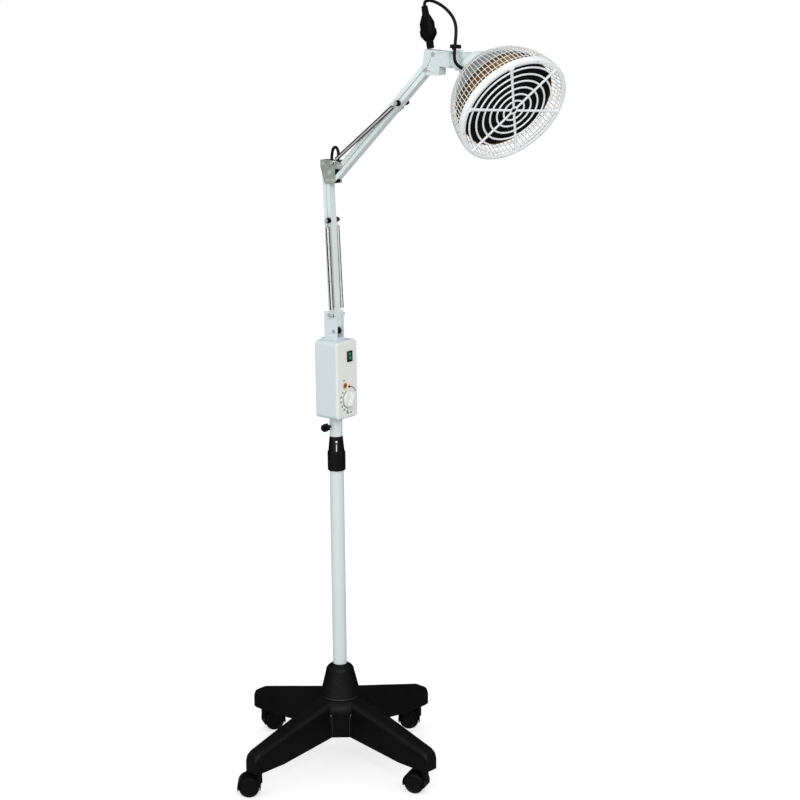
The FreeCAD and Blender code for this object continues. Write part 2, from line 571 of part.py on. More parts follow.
def make_castor(number_of_leg, heading):
    """A twin-wheel castor in its own frame: origin under the stem, +X towards the wheels."""
    angle = "base_yaw + %d" % (number_of_leg * 90)
    spot_x = "castor_radius * cos(%s)" % angle
    spot_y = "castor_radius * sin(%s)" % angle
    name = "castor_hood_%d" % (number_of_leg + 1)
    body = new_body(name)
    shell = "wheel_radius + hood_gap + hood_wall"
    chord = "sqrt(pow(%s; 2) - pow(hood_drop; 2))" % shell
    hood = new_sketch(body, "XZ")
    floor = "wheel_radius - hood_drop"
    crown = ("castor_trail", "wheel_radius + " + shell)
    outline(hood, (("castor_trail - " + chord, floor), ("castor_trail + " + chord, floor), crown),
            {1: shell, 2: shell})
    pad(body, hood, "hood_width", both=True)
    web = new_sketch(body, "XZ")
    circle(web, "castor_trail", "wheel_radius", "axle_radius + 2 * hood_wall")
    pad(body, web, "castor_web", both=True)
    boss = new_sketch(body, "XY", "wheel_radius + hood_drop")
    circle(boss, "0", "0", "stem_boss_radius")
    pad(body, boss, "stem_boss_top - wheel_radius - hood_drop")
    for side, back in (("", True), ("-", False)):
        well = new_sketch(body, "XZ", side + "castor_web / 2")
        circle(well, "castor_trail", "wheel_radius", "wheel_radius + hood_gap")
        pocket(body, well, "hood_width", back=back)
    stem = new_sketch(body, "XY", "stem_boss_top - moving_gap")
    circle(stem, "0", "0", "stem_radius")
    pad(body, stem, "stem_top - stem_boss_top + moving_gap")
    bore = new_sketch(body, "XZ")
    circle(bore, "castor_trail", "wheel_radius", "axle_radius + running_gap")
    pocket(body, bore, "2 * castor_web", both=True)
    place(body, spot_x, spot_y, 0, heading)
    node(body, name)

    axle_x = "%s + castor_trail * cos(%s)" % (spot_x, heading)
    axle_y = "%s + castor_trail * sin(%s)" % (spot_y, heading)
    near = "castor_web / 2 + wheel_side_gap"
    far = near + " + wheel_width"
    members = []
    for side, turn in (("left", 90), ("right", -90)):
        wheel = turned("castor_wheel_%s_%d" % (side, number_of_leg + 1), (
            ("axle_radius", near), ("wheel_radius - wheel_dish", near),
            ("wheel_radius", near + " + wheel_dish"),
            ("wheel_radius", far + " - 2 * wheel_dish"), ("wheel_radius - 2 * wheel_dish", far),
            ("wheel_radius - 4 * wheel_dish", far), ("wheel_radius - 5 * wheel_dish", far + " - wheel_dish"),
            ("2 * axle_radius", far + " - wheel_dish"), ("axle_radius", far + " - wheel_dish")))
        members.append(place(wheel, axle_x, axle_y, "wheel_radius", heading, 0, str(turn)))
    half = far + " - wheel_dish"
    axle = turned("castor_axle_%d" % (number_of_leg + 1), (
        ("0", "-(%s)" % half), ("axle_radius", "-(%s)" % half), ("axle_radius", half), ("0", half)))
    members.append(place(axle, axle_x, axle_y, "wheel_radius", heading, 0, "90"))
    name = "castor_wheels_%d" % (number_of_leg + 1)
    node(group(name, members), name)


# ---------------------------------------------------------------- post

def make_post():
    plug_top = "dome_top + plug_height"
    bolt_bore = "bolt_radius + running_gap"
    body = turned("lower_post", (
        (bolt_bore, "dome_top"), ("lower_outer / 2", "dome_top"), ("lower_outer / 2", "lower_top"),
        ("post_bore", "lower_top"), ("post_bore", plug_top), (bolt_bore, plug_top)))
    node(body, "lower_post")
    node(tube("inner_post", "inner_radius", "inner_radius - inner_wall", "inner_bottom", "inner_top"),
         "inner_post")
    bore = "inner_radius + running_gap"
    collet = turned("collet", (
        (bore, "lower_top - collet_length"), ("post_bore - fit_gap", "lower_top - collet_length"),
        ("post_bore - fit_gap", "lower_top"), ("collet_flange_radius", "lower_top"),
        ("collet_flange_radius", "lower_top + collet_flange"),
        ("collet_flange_radius - lower_wall", "lower_top + collet_flange + collet_cone"),
        (bore, "lower_top + collet_flange + collet_cone")))
    node(collet, "collet")


def make_lock_ring():
    """A twist-lock collar: fluted grip below, tapering neck above, hollow round the collet."""
    grip_top = "ring_bottom + ring_grip"
    room = "collet_flange_radius + moving_gap / 2"
    roof = "ring_top - ring_roof"
    body = turned("lock_ring", (
        ("lower_outer / 2 + running_gap", "ring_bottom"), ("ring_radius - ring_lip", "ring_bottom"),
        ("ring_radius", "ring_bottom + ring_lip"), ("ring_radius", grip_top + " - ring_lip / 2"),
        ("ring_neck_radius", grip_top + " + ring_lip"), ("ring_top_radius", "ring_top"),
        ("inner_radius + moving_gap / 2", "ring_top"), ("inner_radius + moving_gap / 2", roof),
        (room + " - lower_wall", roof), (room, "lower_top + collet_flange"),
        (room, "lower_top - moving_gap / 2"),
        ("lower_outer / 2 + running_gap", "lower_top - moving_gap / 2")))
    flute = new_sketch(body, "XY", "ring_bottom + 2 * ring_lip")
    circle(flute, "ring_radius + flute_radius * 0.45", "0", "flute_radius")
    cut = pocket(body, flute, "ring_grip - 4 * ring_lip", back=True)
    polar(body, [cut], GRIP_FLUTES)
    node(body, "lock_ring")


# ---------------------------------------------------------------- sleeve and control box

def make_sleeve():
    """The tube under the box that turns on the inner post, closed at its top, with a nut for the screw."""
    outer = "sleeve_outer / 2"
    bore = "inner_radius + running_gap"
    flange_floor = "box_bottom + box_wall"
    stop = "inner_top + seat_gap"
    body = turned("box_sleeve", (
        (bore, "sleeve_bottom"), (outer, "sleeve_bottom"), (outer, flange_floor),
        ("sleeve_flange_radius", flange_floor), ("sleeve_flange_radius", flange_floor + " + sleeve_flange"),
        (outer, flange_floor + " + sleeve_flange"), (outer, stop + " + sleeve_cap"),
        ("0", stop + " + sleeve_cap"), ("0", stop), (bore, stop)))
    nut = new_sketch(body, "YZ", "-(%s - running_gap) - screw_boss" % outer)
    circle(nut, "0", "screw_height", "screw_boss_radius")
    pad(body, nut, "screw_boss")
    hole = new_sketch(body, "YZ", "-(%s) - screw_boss - 1" % outer)
    circle(hole, "0", "screw_height", "screw_radius + running_gap")
    pocket(body, hole, "screw_boss + 1 + sleeve_outer / 4", back=True)
    node(body, "box_sleeve")


def make_sleeve_knob():
    """A lobed hand screw along -X: its own Z axis points away from the post."""
    body = new_body("sleeve_knob")
    core = new_sketch(body, "XY", "knob_near")
    circle(core, "0", "0", "knob_core")
    pad(body, core, "knob_length")
    lobe = new_sketch(body, "XY", "knob_near")
    circle(lobe, "knob_lobe_ring", "0", "knob_lobe_radius")
    lobe_pad = pad(body, lobe, "knob_length - knob_lobe_radius")
    polar(body, [lobe_pad], KNOB_LOBES)
    stud = new_sketch(body, "XY", "inner_radius + seat_gap")
    circle(stud, "0", "0", "screw_radius")
    pad(body, stud, "knob_near + knob_length / 2 - inner_radius - seat_gap")
    place(body, z="screw_height", pitch="-90")
    node(body, "sleeve_knob")


def round_edges(body, radius, along, at):
    """Fillets the edges of the last feature that lie in one plane across an axis."""
    doc.recompute()
    base = body.Tip
    names = []
    for index, edge in enumerate(base.Shape.Edges, start=1):
        box = edge.BoundBox
        low, high = (box.YMin, box.YMax) if along == "y" else (box.ZMin, box.ZMax)
        if abs(low - at) < 0.01 and abs(high - at) < 0.01:
            names.append("Edge%d" % index)
    feature = body.newObject("PartDesign::Fillet", body.Name + "_fillet")
    feature.Base = (base, names)
    feature.setExpression("Radius", formula(radius))
    return feature


def box_corners():
    side = "box_width / 2 - boss_inset"
    return [(sign + "(%s)" % side, height) for height in ("box_bottom + boss_rise", "box_top - boss_rise")
            for sign in ("-", "")]


def make_box():
    inner_width = "box_width - 2 * box_wall"
    inner_height = "box_height - 2 * box_wall"
    front = new_body("box_front")
    face = new_sketch(front, "XZ", "box_split")
    rectangle(face, "box_width", "box_height", "0", "box_middle", "box_corner")
    pad(front, face, "box_front - box_split")
    round_edges(front, "box_front_round", "y", -number("box_front"))
    hollow = new_sketch(front, "XZ", "box_split")
    rectangle(hollow, inner_width, inner_height, "0", "box_middle", "box_corner - box_wall")
    pocket(front, hollow, "box_front - box_split - box_wall", back=True)
    bosses = new_sketch(front, "XZ", "box_front - box_wall / 2")
    for x, z in box_corners():
        circle(bosses, x, z, "boss_radius")
    pad(front, bosses, "box_front - box_wall / 2 + box_rear - box_wall - seat_gap", back=True)
    pilots = new_sketch(front, "XZ", "-(box_rear - box_wall)")
    for x, z in box_corners():
        circle(pilots, x, z, "screw_shank + fit_gap")
    pocket(front, pilots, "screw_depth", back=True)
    openings = new_sketch(front, "XZ", "box_front + 1")
    can_margin = "2 * fit_gap - 2 * bezel_lip"
    rectangle(openings, "bezel_width + " + can_margin, "bezel_height + " + can_margin, "switch_x", "switch_z")
    circle(openings, "lens_x", "lens_z", "lens_stem_radius + fit_gap")
    circle(openings, "timer_x", "timer_z", "shaft_radius + moving_gap")
    pocket(front, openings, "box_wall + 2")
    node(front, "box_front")

    back = new_body("box_back")
    wall = new_sketch(back, "XZ", "-box_rear")
    rectangle(wall, "box_width", "box_height", "0", "box_middle", "box_corner")
    pad(back, wall, "box_rear + box_split")
    round_edges(back, "box_rear_round", "y", number("box_rear"))
    cavity = new_sketch(back, "XZ", "box_split")
    rectangle(cavity, inner_width, inner_height, "0", "box_middle", "box_corner - box_wall")
    pocket(back, cavity, "box_rear + box_split - box_wall")
    floor_hole = new_sketch(back, "XY", "box_bottom + box_wall + 1")
    circle(floor_hole, "0", "0", "sleeve_outer / 2 + fit_gap")
    pocket(back, floor_hole, "box_wall + 2")
    roof_hole = new_sketch(back, "XY", "box_top + 1")
    circle(roof_hole, "0", "0", "swivel_radius + running_gap")
    pocket(back, roof_hole, "box_wall + 2")
    rear = new_sketch(back, "XZ", "-box_rear - 1")
    rectangle(rear, "inlet_width + 2 * fit_gap", "inlet_height + 2 * fit_gap", "0", "inlet_z")
    for x, z in box_corners():
        circle(rear, x, z, "screw_shank + running_gap")
    pocket(back, rear, "box_wall + 2", back=True)
    node(back, "box_back")


def make_box_screws():
    members = []
    for index, (x, z) in enumerate(box_corners(), start=1):
        screw = turned("box_screw_%d" % index, (
            ("0", "-screw_depth + box_wall"), ("screw_shank", "-screw_depth + box_wall"),
            ("screw_shank", "0"), ("screw_head", "0"), ("screw_head", "screw_head_height / 2"),
            ("screw_head / 2", "screw_head_height"), ("0", "screw_head_height")))
        members.append(place(screw, x, "box_rear", z, roll="-90"))
    node(group("box_screws", members), "box_screws")


def make_switch():
    """The switch in the panel's frame: +Z out of the panel, +Y up."""
    body = new_body("switch_housing")
    bezel = new_sketch(body, "XY")
    rectangle(bezel, "bezel_width", "bezel_height", "0", "0", "bezel_lip")
    pad(body, bezel, "bezel_thickness")
    can = new_sketch(body, "XY")
    rectangle(can, "bezel_width - 2 * bezel_lip", "bezel_height - 2 * bezel_lip")
    pad(body, can, "switch_depth", back=True)
    room = new_sketch(body, "XY", "bezel_thickness")
    rectangle(room, "rocker_width + 2 * rocker_side_gap", "2 * rocker_half + 2 * rocker_end_gap")
    pocket(body, room, "bezel_thickness + rocker_depth + 2 * rocker_keel + rocker_crown")
    cross_hole(body, [("0", "-rocker_depth")], "trunnion_radius + running_gap",
               "rocker_width + 2 * trunnion_length + 4 * running_gap")
    place(body, "switch_x", "-box_front", "switch_z", roll="90")
    node(body, "switch_housing")

    rocker = new_body("switch_rocker")
    side = new_sketch(rocker, "YZ")
    lift = "rocker_crown + rocker_half * tan(rocker_tilt)"
    outline(side, (("-rocker_half * 0.6", "-rocker_keel"), ("rocker_half * 0.6", "-rocker_keel"),
                   ("rocker_half", "0"), ("rocker_half", lift), ("0", "rocker_crown"), ("-rocker_half", lift),
                   ("-rocker_half", "0")))
    pad(rocker, side, "rocker_width", both=True)
    axle = new_sketch(rocker, "YZ")
    circle(axle, "0", "0", "trunnion_radius")
    pad(rocker, axle, "rocker_width + 2 * trunnion_length", both=True)
    place(rocker, "switch_x", "-box_front + rocker_depth", "switch_z", roll="90 - rocker_tilt")
    node(rocker, "switch_rocker")


def make_lens():
    body = turned("indicator_lens", (
        ("0", "-lens_stem"), ("lens_stem_radius", "-lens_stem"), ("lens_stem_radius", "0"),
        ("lens_radius", "0"),
        ("lens_radius", "lens_height / 4"), ("0", "lens_height")),
        {4: "(pow(lens_radius; 2) + pow(lens_height * 0.75; 2)) / (1.5 * lens_height)"})
    place(body, "lens_x", "-box_front", "lens_z", roll="90")
    node(body, "indicator_lens")


def make_timer():
    can = turned("timer_body", (
        ("0", "-box_wall - timer_depth"), ("timer_radius", "-box_wall - timer_depth"),
        ("timer_radius", "-box_wall"), ("shaft_radius + running_gap", "-box_wall"),
        ("shaft_radius + running_gap", "-shaft_depth - running_gap"), ("0", "-shaft_depth - running_gap")))
    place(can, "timer_x", "-box_front", "timer_z", roll="90")
    node(can, "timer_body")

    skirt_top = "dial_foot + dial_skirt"
    knob = turned("timer_knob", (
        ("0", "-shaft_depth"), ("shaft_radius", "-shaft_depth"), ("shaft_radius", "dial_foot"),
        ("dial_radius", "dial_foot"), ("dial_radius", "dial_foot + dial_skirt / 2"),
        ("dial_radius - dial_skirt / 2", skirt_top), ("0", skirt_top)))
    grip = new_sketch(knob, "XY", skirt_top + " - dial_skirt / 4")
    rectangle(grip, "dial_bar_width", "2 * dial_radius - dial_skirt", "0", "0", "dial_skirt")
    bar = pad(knob, grip, "dial_bar_height")
    bar.setExpression("TaperAngle", formula("-dial_draft"))
    place(knob, "timer_x", "-box_front", "timer_z", pitch="dial_tilt", roll="90")
    node(knob, "timer_knob")


def make_inlet():
    """The mains inlet in the rear wall's frame: +Z out of the wall."""
    body = new_body("mains_inlet")
    flange = new_sketch(body, "XY")
    rectangle(flange, "inlet_width + 2 * inlet_rim", "inlet_height + 2 * inlet_rim", "0", "0", "inlet_rim")
    pad(body, flange, "inlet_flange")
    can = new_sketch(body, "XY")
    rectangle(can, "inlet_width", "inlet_height")
    pad(body, can, "inlet_depth", back=True)
    cavity = new_sketch(body, "XY", "inlet_flange")
    rectangle(cavity, "inlet_cavity_width", "inlet_cavity_height", "0", "0", "inlet_rim")
    pocket(body, cavity, "inlet_cavity_depth + inlet_flange")
    blades = new_sketch(body, "XY", "-inlet_cavity_depth - fit_gap")
    rectangle(blades, "blade_thickness", "blade_width", "-blade_spread", "blade_thickness / 2")
    rectangle(blades, "blade_thickness", "blade_width", "blade_spread", "blade_thickness / 2")
    rectangle(blades, "blade_thickness", "blade_width", "0", "-blade_thickness")
    pad(body, blades, "blade_length")
    place(body, "0", "box_rear", "inlet_z", roll="-90")
    node(body, "mains_inlet")


def make_terminal_block():
    body = new_body("terminal_block")
    base = new_sketch(body, "XY")
    rectangle(base, "block_width", "block_height")
    pad(body, base, "block_depth", back=True)
    holes = new_sketch(body, "XY", "-block_depth - 1")
    for x in ("-block_width / 3", "0", "block_width / 3"):
        for y in ("-block_height / 4", "block_height / 4"):
            circle(holes, x, y, "block_hole")
    pocket(body, holes, "block_depth / 2 + 1", back=True)
    place(body, "0", "box_rear - box_wall", "block_z + block_height / 2", roll="-90")
    node(body, "terminal_block")


# ---------------------------------------------------------------- fork and arms

def make_fork():
    body = new_body("arm_fork")
    side = new_sketch(body, "YZ")
    top = "fork_bed + fork_height - plate_thickness"
    outline(side, (("-fork_front", "fork_floor"), ("fork_rear", "fork_floor"),
                   ("fork_rear", top + " - fork_corner"), ("fork_rear - fork_corner", top),
                   ("fork_corner - fork_front", top), ("-fork_front", top + " - fork_corner")),
            {2: "fork_corner", 4: "fork_corner"})
    pad(body, side, "2 * plate_half", both=True)
    flange = new_sketch(body, "XY", "fork_floor")
    rectangle(flange, "2 * plate_half + 2 * fork_flange_side", "fork_front + fork_flange_rear", "0",
              "(fork_flange_rear - fork_front) / 2", "fork_flange_side / 2")
    pad(body, flange, "fork_flange")
    slot = new_sketch(body, "YZ")
    outline(slot, (("-fork_front - 1", "fork_bed"), ("fork_rear + 1", "fork_bed"),
                   ("fork_rear + 1", top + " + 1"), ("-fork_front - 1", top + " + 1")))
    pocket(body, slot, "plate_gap", both=True)
    cross_hole(body, [("fork_pivot_y", "fork_pivot_z"), ("fork_link_y", "fork_link_z")],
               "pin_radius + fit_gap", "2 * plate_half + 2")
    cross_hole(body, [("fork_pivot_y", "fork_anchor_z")], "anchor_radius + fit_gap", "2 * plate_half + 2")
    bolt = new_sketch(body, "XY", "fork_bed + 1")
    circle(bolt, "0", "0", "swivel_radius + fit_gap")
    pocket(body, bolt, "fork_flange + plate_thickness + 2")
    node(body, "arm_fork")


def make_fork_bolt():
    nut_top = "box_top - box_wall - running_gap"
    tail = nut_top + " - swivel_nut - plate_thickness"
    bolt = turned("swivel_bolt", (
        ("0", tail), ("swivel_radius", tail), ("swivel_radius", "fork_bed"),
        ("swivel_head_radius", "fork_bed"), ("swivel_head_radius", "fork_bed + swivel_head / 2"),
        ("swivel_radius", "fork_bed + swivel_head"), ("0", "fork_bed + swivel_head")))
    nut_floor = nut_top + " - swivel_nut"
    nut = tube("swivel_nut", "swivel_nut_radius", "swivel_radius + fit_gap", nut_floor, nut_top)
    node(group("fork_bolt", [bolt, nut]), "fork_bolt")


def cross_pin(name, y, z):
    """A rivet through a pair of plates, along X."""
    body = pin(name, "pin_radius", "pin_head_radius", "pin_head", "plate_half + fit_gap + pin_head")
    return place(body, "0", y, z, pitch="90")


def anchor_studs(name, y, z):
    """A stud riveted in each of a pair of plates, along X, that carries a spring on its outer end."""
    studs = []
    head = "anchor_reach - anchor_head"
    for side, turn in (("left", "-90"), ("right", "90")):
        stud = turned(name + "_" + side, (
            ("0", "plate_gap / 2"), ("anchor_radius", "plate_gap / 2"), ("anchor_radius", head),
            ("anchor_head_radius", head), ("anchor_head_radius", "anchor_reach"), ("0", "anchor_reach")))
        studs.append(place(stud, "0", y, z, pitch=turn))
    return studs


def bar(name, length, side, spring_at=None):
    """A channel bar in its own frame: pivot at the origin, +Z along the bar, its web on the -Y or +Y side."""
    body = new_body(name)
    half_x, half_y = "bar_width / 2", "bar_depth / 2"
    in_x, in_y = "(bar_width / 2 - bar_wall)", "(bar_depth / 2 - bar_wall)"
    profile = new_sketch(body, "XY", "-bar_overhang")
    points = [("-" + half_x, "-" + half_y), (half_x, "-" + half_y), (half_x, half_y), (in_x, half_y),
              (in_x, "-" + in_y), ("-" + in_x, "-" + in_y), ("-" + in_x, half_y), ("-" + half_x, half_y)]
    if side > 0:
        points = [(x, "-(%s)" % y) for x, y in reversed(points)]
    outline(profile, points)
    pad(body, profile, "%s + 2 * bar_overhang" % length)
    notch = new_sketch(body, "XZ")
    outline(notch, (("-" + in_x, "-bar_overhang - 1"), (in_x, "-bar_overhang - 1"), (in_x, "bar_notch"),
                    ("-" + in_x, "bar_notch")))
    pocket(body, notch, "2 * bar_depth", both=True)
    cross_hole(body, [("0", "0"), ("0", length)], "pin_radius + running_gap", "bar_width + 2")
    if spring_at:
        cross_hole(body, [("0", spring_at)], "anchor_radius + fit_gap", "bar_width + 2")
    return body


def spring_pin(name):
    """The pin on a bar that two springs hang on, with a round collar beside the bar on each side."""
    return pin(name, "anchor_radius", "anchor_head_radius", "anchor_head", "anchor_reach", "collar_length",
               "bar_width / 2 + fit_gap")


def spring(name, length):
    """A tension spring along its Z axis: the coil, its two necks and an eye at each end."""
    coil = doc.addObject("Part::Cylinder", name + "_coil")
    coil.setExpression("Radius", formula("spring_radius"))
    coil.setExpression("Height", formula(length + " - 2 * spring_hook"))
    place(coil, z="spring_hook")
    wire = doc.addObject("Part::Cylinder", name + "_wire")
    wire.setExpression("Radius", formula("spring_wire"))
    wire.setExpression("Height", formula(length + " - 2 * spring_eye"))
    place(wire, z="spring_eye")
    eyes = []
    for spot in ("0", length):
        eye = doc.addObject("Part::Torus", name + "_eye")
        eye.setExpression("Radius1", formula("spring_eye"))
        eye.setExpression("Radius2", formula("spring_wire"))
        eyes.append(place(eye, z=spot, pitch="90"))
    whole = doc.addObject("Part::MultiFuse", name)
    whole.Shapes = [coil, wire] + eyes
    return whole


def make_arm(name, length, y, z, link_y, link_z, roll, bars, spring_at, pin_y, pin_z, anchor):
    """One parallelogram stage: the bar with the springs, and the bar that keeps the far end level."""
    carrier = bar(bars[0], length, -1, spring_at)
    node(place(carrier, "0", y, z, roll=roll), bars[0])
    follower = bar(bars[1], length, 1)
    node(place(follower, "0", link_y, link_z, roll=roll), bars[1])
    carrier_pin = spring_pin(name + "_spring_pin")
    node(place(carrier_pin, "0", pin_y, pin_z, pitch="90"), name + "_spring_pin")
    members = []
    for side in ("-", ""):
        piece = spring(name + "_spring", name + "_spring_length")
        members.append(place(piece, side + "spring_x", anchor[0], anchor[1], roll=name + "_spring_roll"))
    node(group(name + "_springs", members), name + "_springs")


def make_arms():
    pins = [cross_pin("fork_pin_low", "fork_pivot_y", "fork_pivot_z"),
            cross_pin("fork_pin_high", "fork_link_y", "fork_link_z")]
    pins += anchor_studs("fork_anchor", "fork_pivot_y", "fork_anchor_z")
    node(group("fork_pins", pins), "fork_pins")
    make_arm("lower", "lower_length", "fork_pivot_y", "fork_pivot_z", "fork_link_y", "fork_link_z",
             "-lower_lean", ("lower_bar_front", "lower_bar_rear"), "lower_spring_at", "lower_pin_y",
             "lower_pin_z", ("fork_pivot_y", "fork_anchor_z"))
    make_arm("upper", "upper_length", "shoulder_y", "shoulder_z", "shoulder_link_y", "shoulder_link_z",
             "upper_lean", ("upper_bar_bottom", "upper_bar_top"), "upper_spring_at", "upper_pin_y",
             "upper_pin_z", ("elbow_anchor_y", "elbow_anchor_z"))


# ---------------------------------------------------------------- elbow

def make_elbow():
    body = new_body("elbow_bracket")
    side = new_sketch(body, "YZ")
    front = "shoulder_link_y - elbow_margin"
    outline(side, (
        ("shoulder_y - elbow_margin", "shoulder_z - elbow_margin"),
        ("elbow_y + elbow_margin", "elbow_z - elbow_margin"),
        ("elbow_link_y + elbow_margin", "elbow_link_z - elbow_margin"),
        ("elbow_link_y + elbow_margin", "elbow_crown"),
        ("elbow_anchor_y - elbow_margin", "elbow_crown"),
        (front, "shoulder_link_z + elbow_margin"), (front, "shoulder_link_z - elbow_margin"),
        ("shoulder_y - elbow_margin", "shoulder_link_z - elbow_margin")))
    pad(body, side, "2 * plate_half", both=True)
    room = new_sketch(body, "YZ")
    low = "shoulder_z - 2 * elbow_margin"
    high = "elbow_crown + 2 * elbow_margin"
    outline(room, (
        (front + " - 1", low), ("elbow_link_y + 2 * elbow_margin", low),
        ("elbow_link_y + 2 * elbow_margin", "elbow_crown - elbow_web"),
        ("elbow_web_near", "elbow_crown - elbow_web"), ("elbow_web_near", high), (front + " - 1", high)))
    pocket(body, room, "plate_gap", both=True)
    pivots = (("elbow_y", "elbow_z"), ("elbow_link_y", "elbow_link_z"), ("shoulder_y", "shoulder_z"),
              ("shoulder_link_y", "shoulder_link_z"))
    cross_hole(body, pivots, "pin_radius + fit_gap", "2 * plate_half + 2")
    cross_hole(body, [("elbow_anchor_y", "elbow_anchor_z"), ("rivet_y", "rivet_z")],
               "anchor_radius + fit_gap", "2 * plate_half + 2")
    node(body, "elbow_bracket")

    pins = []
    for index, (y, z) in enumerate(pivots, start=1):
        pins.append(cross_pin("elbow_pin_%d" % index, y, z))
    pins += anchor_studs("elbow_anchor", "elbow_anchor_y", "elbow_anchor_z")
    rivet_half = "plate_half + fit_gap + pin_head / 2"
    rivet = pin("elbow_rivet", "rivet_radius", "pin_head_radius", "pin_head / 2", rivet_half)
    pins.append(place(rivet, "0", "rivet_y", "rivet_z", pitch="90"))
    node(group("elbow_pins", pins), "elbow_pins")

    block = new_body("elbow_spacer")
    shape = new_sketch(block, "YZ")
    floor = "elbow_z + spacer_floor"
    roof = "elbow_z + spacer_roof"
    outline(shape, (
        ("elbow_y - spacer_foot_front", floor), ("elbow_y - spacer_rear", floor),
        ("elbow_y - spacer_rear", roof),
        ("elbow_y - spacer_front", roof), ("elbow_y - spacer_front", "elbow_z + spacer_step")))
    pad(block, shape, "plate_gap - 2 * spacer_side_gap", both=True)
    cross_hole(block, [("rivet_y", "rivet_z")], "rivet_radius + fit_gap", "plate_gap + 2")
    holes = new_sketch(block, "XY", "elbow_z + spacer_roof + 1")
    for spot in (ELBOW_LEAD[0], ELBOW_LEAD[-1]):
        circle(holes, "0", str(spot[1]), "lead_radius + running_gap")
    pocket(block, holes, "lead_hole_depth + 1")
    node(block, "elbow_spacer")


# ---------------------------------------------------------------- head bracket and yoke

def make_head_bracket():
    body = new_body("head_bracket")
    side = new_sketch(body, "YZ")
    nose = "wrist_y - nose_reach"
    foot = "wrist_y - foot_reach"
    outline(side, (
        (foot, "wrist_z - foot_drop"), ("wrist_y - 1", "wrist_z - foot_drop - 1"),
        ("wrist_y + heel_back", "wrist_z + heel_rise"), ("wrist_y + crown_back", "bracket_top"),
        (nose, "wrist_z + nose_high"), (nose, "wrist_z + nose_low"), (foot + " - 2", "wrist_z + foot_rise")))
    pad(body, side, "2 * plate_half", both=True)
    room = new_sketch(body, "YZ")
    low = "wrist_z - 3 * foot_drop"
    back = "wrist_y + 4 * heel_back"
    inside = nose + " + bracket_web"
    roof = "bracket_top - bracket_web"
    outline(room, (
        (foot + " + bracket_web", low), (back, low), (back, roof), (foot, roof), (foot, "bracket_top + 1"),
        (inside, "bracket_top + 1"), (inside, "wrist_z + nose_low - 1"),
        (foot + " - 2 - bracket_web", "wrist_z + nose_low - 1"),
        (foot + " - 2 + bracket_web", "wrist_z + foot_rise")))
    pocket(body, room, "plate_gap", both=True)
    tongue = new_sketch(body, "XY", "tongue_floor")
    root = nose + " + bracket_web / 2"
    outline(tongue, (("-tongue_radius", "head_swivel_y"), ("0", "head_swivel_y - tongue_radius"),
                     ("tongue_radius", "head_swivel_y"), ("tongue_width / 2", root),
                     ("-tongue_width / 2", root)),
            {0: "tongue_radius", 1: "tongue_radius"})
    pad(body, tongue, "tongue_height")
    bolt = new_sketch(body, "XY", "tongue_floor - 1")
    circle(bolt, "0", "head_swivel_y", "yaw_bolt_radius + fit_gap")
    pocket(body, bolt, "tongue_height + 2", back=True)
    cross_hole(body, [("wrist_y", "wrist_z"), ("wrist_link_y", "wrist_link_z")], "pin_radius + fit_gap",
               "2 * plate_half + 2")
    node(body, "head_bracket")
    pins = [cross_pin("bracket_pin_1", "wrist_y", "wrist_z"),
            cross_pin("bracket_pin_2", "wrist_link_y", "wrist_link_z")]
    node(group("bracket_pins", pins), "bracket_pins")


def make_yaw_bolt():
    half = "(yoke_top - yoke_floor) / 2 + running_gap + yaw_head"
    bolt = pin("yaw_bolt", "yaw_bolt_radius", "yaw_head_radius", "yaw_head", half)
    place(bolt, "0", "head_swivel_y", "(yoke_top + yoke_floor) / 2")
    node(bolt, "yaw_bolt")


def make_yoke():
    """The yoke in its own frame: origin on the swivel axis, the head towards -Y."""
    body = new_body("tilt_yoke")
    plan = new_sketch(body, "XY", "yoke_floor")
    front = "-yoke_web_at - yoke_plate"
    outline(plan, (("-yoke_radius", front), ("yoke_radius", front), ("yoke_radius", "0"),
                   ("0", "yoke_radius"), ("-yoke_radius", "0")), {2: "yoke_radius", 3: "yoke_radius"})
    pad(body, plan, "yoke_top - yoke_floor")
    room = new_sketch(body, "XY", "yoke_floor + yoke_plate")
    rectangle(room, "4 * yoke_radius", "2 * yoke_radius + yoke_web_at", "0", "yoke_radius - yoke_web_at / 2")
    pocket(body, room, "yoke_top - yoke_floor - 2 * yoke_plate", back=True)
    ears = new_sketch(body, "YZ")
    root = "-yoke_web_at - yoke_plate / 2"
    outline(ears, (("-tilt_reach", "tilt_height - ear_radius"), (root, "tilt_height - ear_radius"),
                   (root, "tilt_height + ear_radius"), ("-tilt_reach", "tilt_height + ear_radius"),
                   ("-tilt_reach - ear_radius", "tilt_height")), {3: "ear_radius", 4: "ear_radius"})
    pad(body, ears, "ear_gap + 2 * ear_thickness", both=True)
    gap = new_sketch(body, "YZ")
    far = "-tilt_reach - 2 * ear_radius"
    outline(gap, ((far, "yoke_floor - 1"), (front, "yoke_floor - 1"), (front, "yoke_top + ear_radius"),
                  (far, "yoke_top + ear_radius")))
    pocket(body, gap, "ear_gap", both=True)
    bolt = new_sketch(body, "XY", "yoke_floor - 1")
    circle(bolt, "0", "0", "yaw_bolt_radius + running_gap")
    pocket(body, bolt, "yoke_top - yoke_floor + 2", back=True)
    cross_hole(body, [("-tilt_reach", "tilt_height")], "tilt_bolt_radius + fit_gap", "4 * ear_gap")
    place(body, "0", "head_swivel_y", "0", "-head_yaw")
    node(body, "tilt_yoke")
    half = "ear_gap / 2 + ear_thickness + fit_gap + tilt_head"
    bolt = pin("tilt_bolt", "tilt_bolt_radius", "tilt_head_radius", "tilt_head", half)
    place(bolt, "tilt_x", "tilt_y", "tilt_height", yaw="-head_yaw", pitch="90")
    node(bolt, "tilt_bolt")


# ---------------------------------------------------------------- head

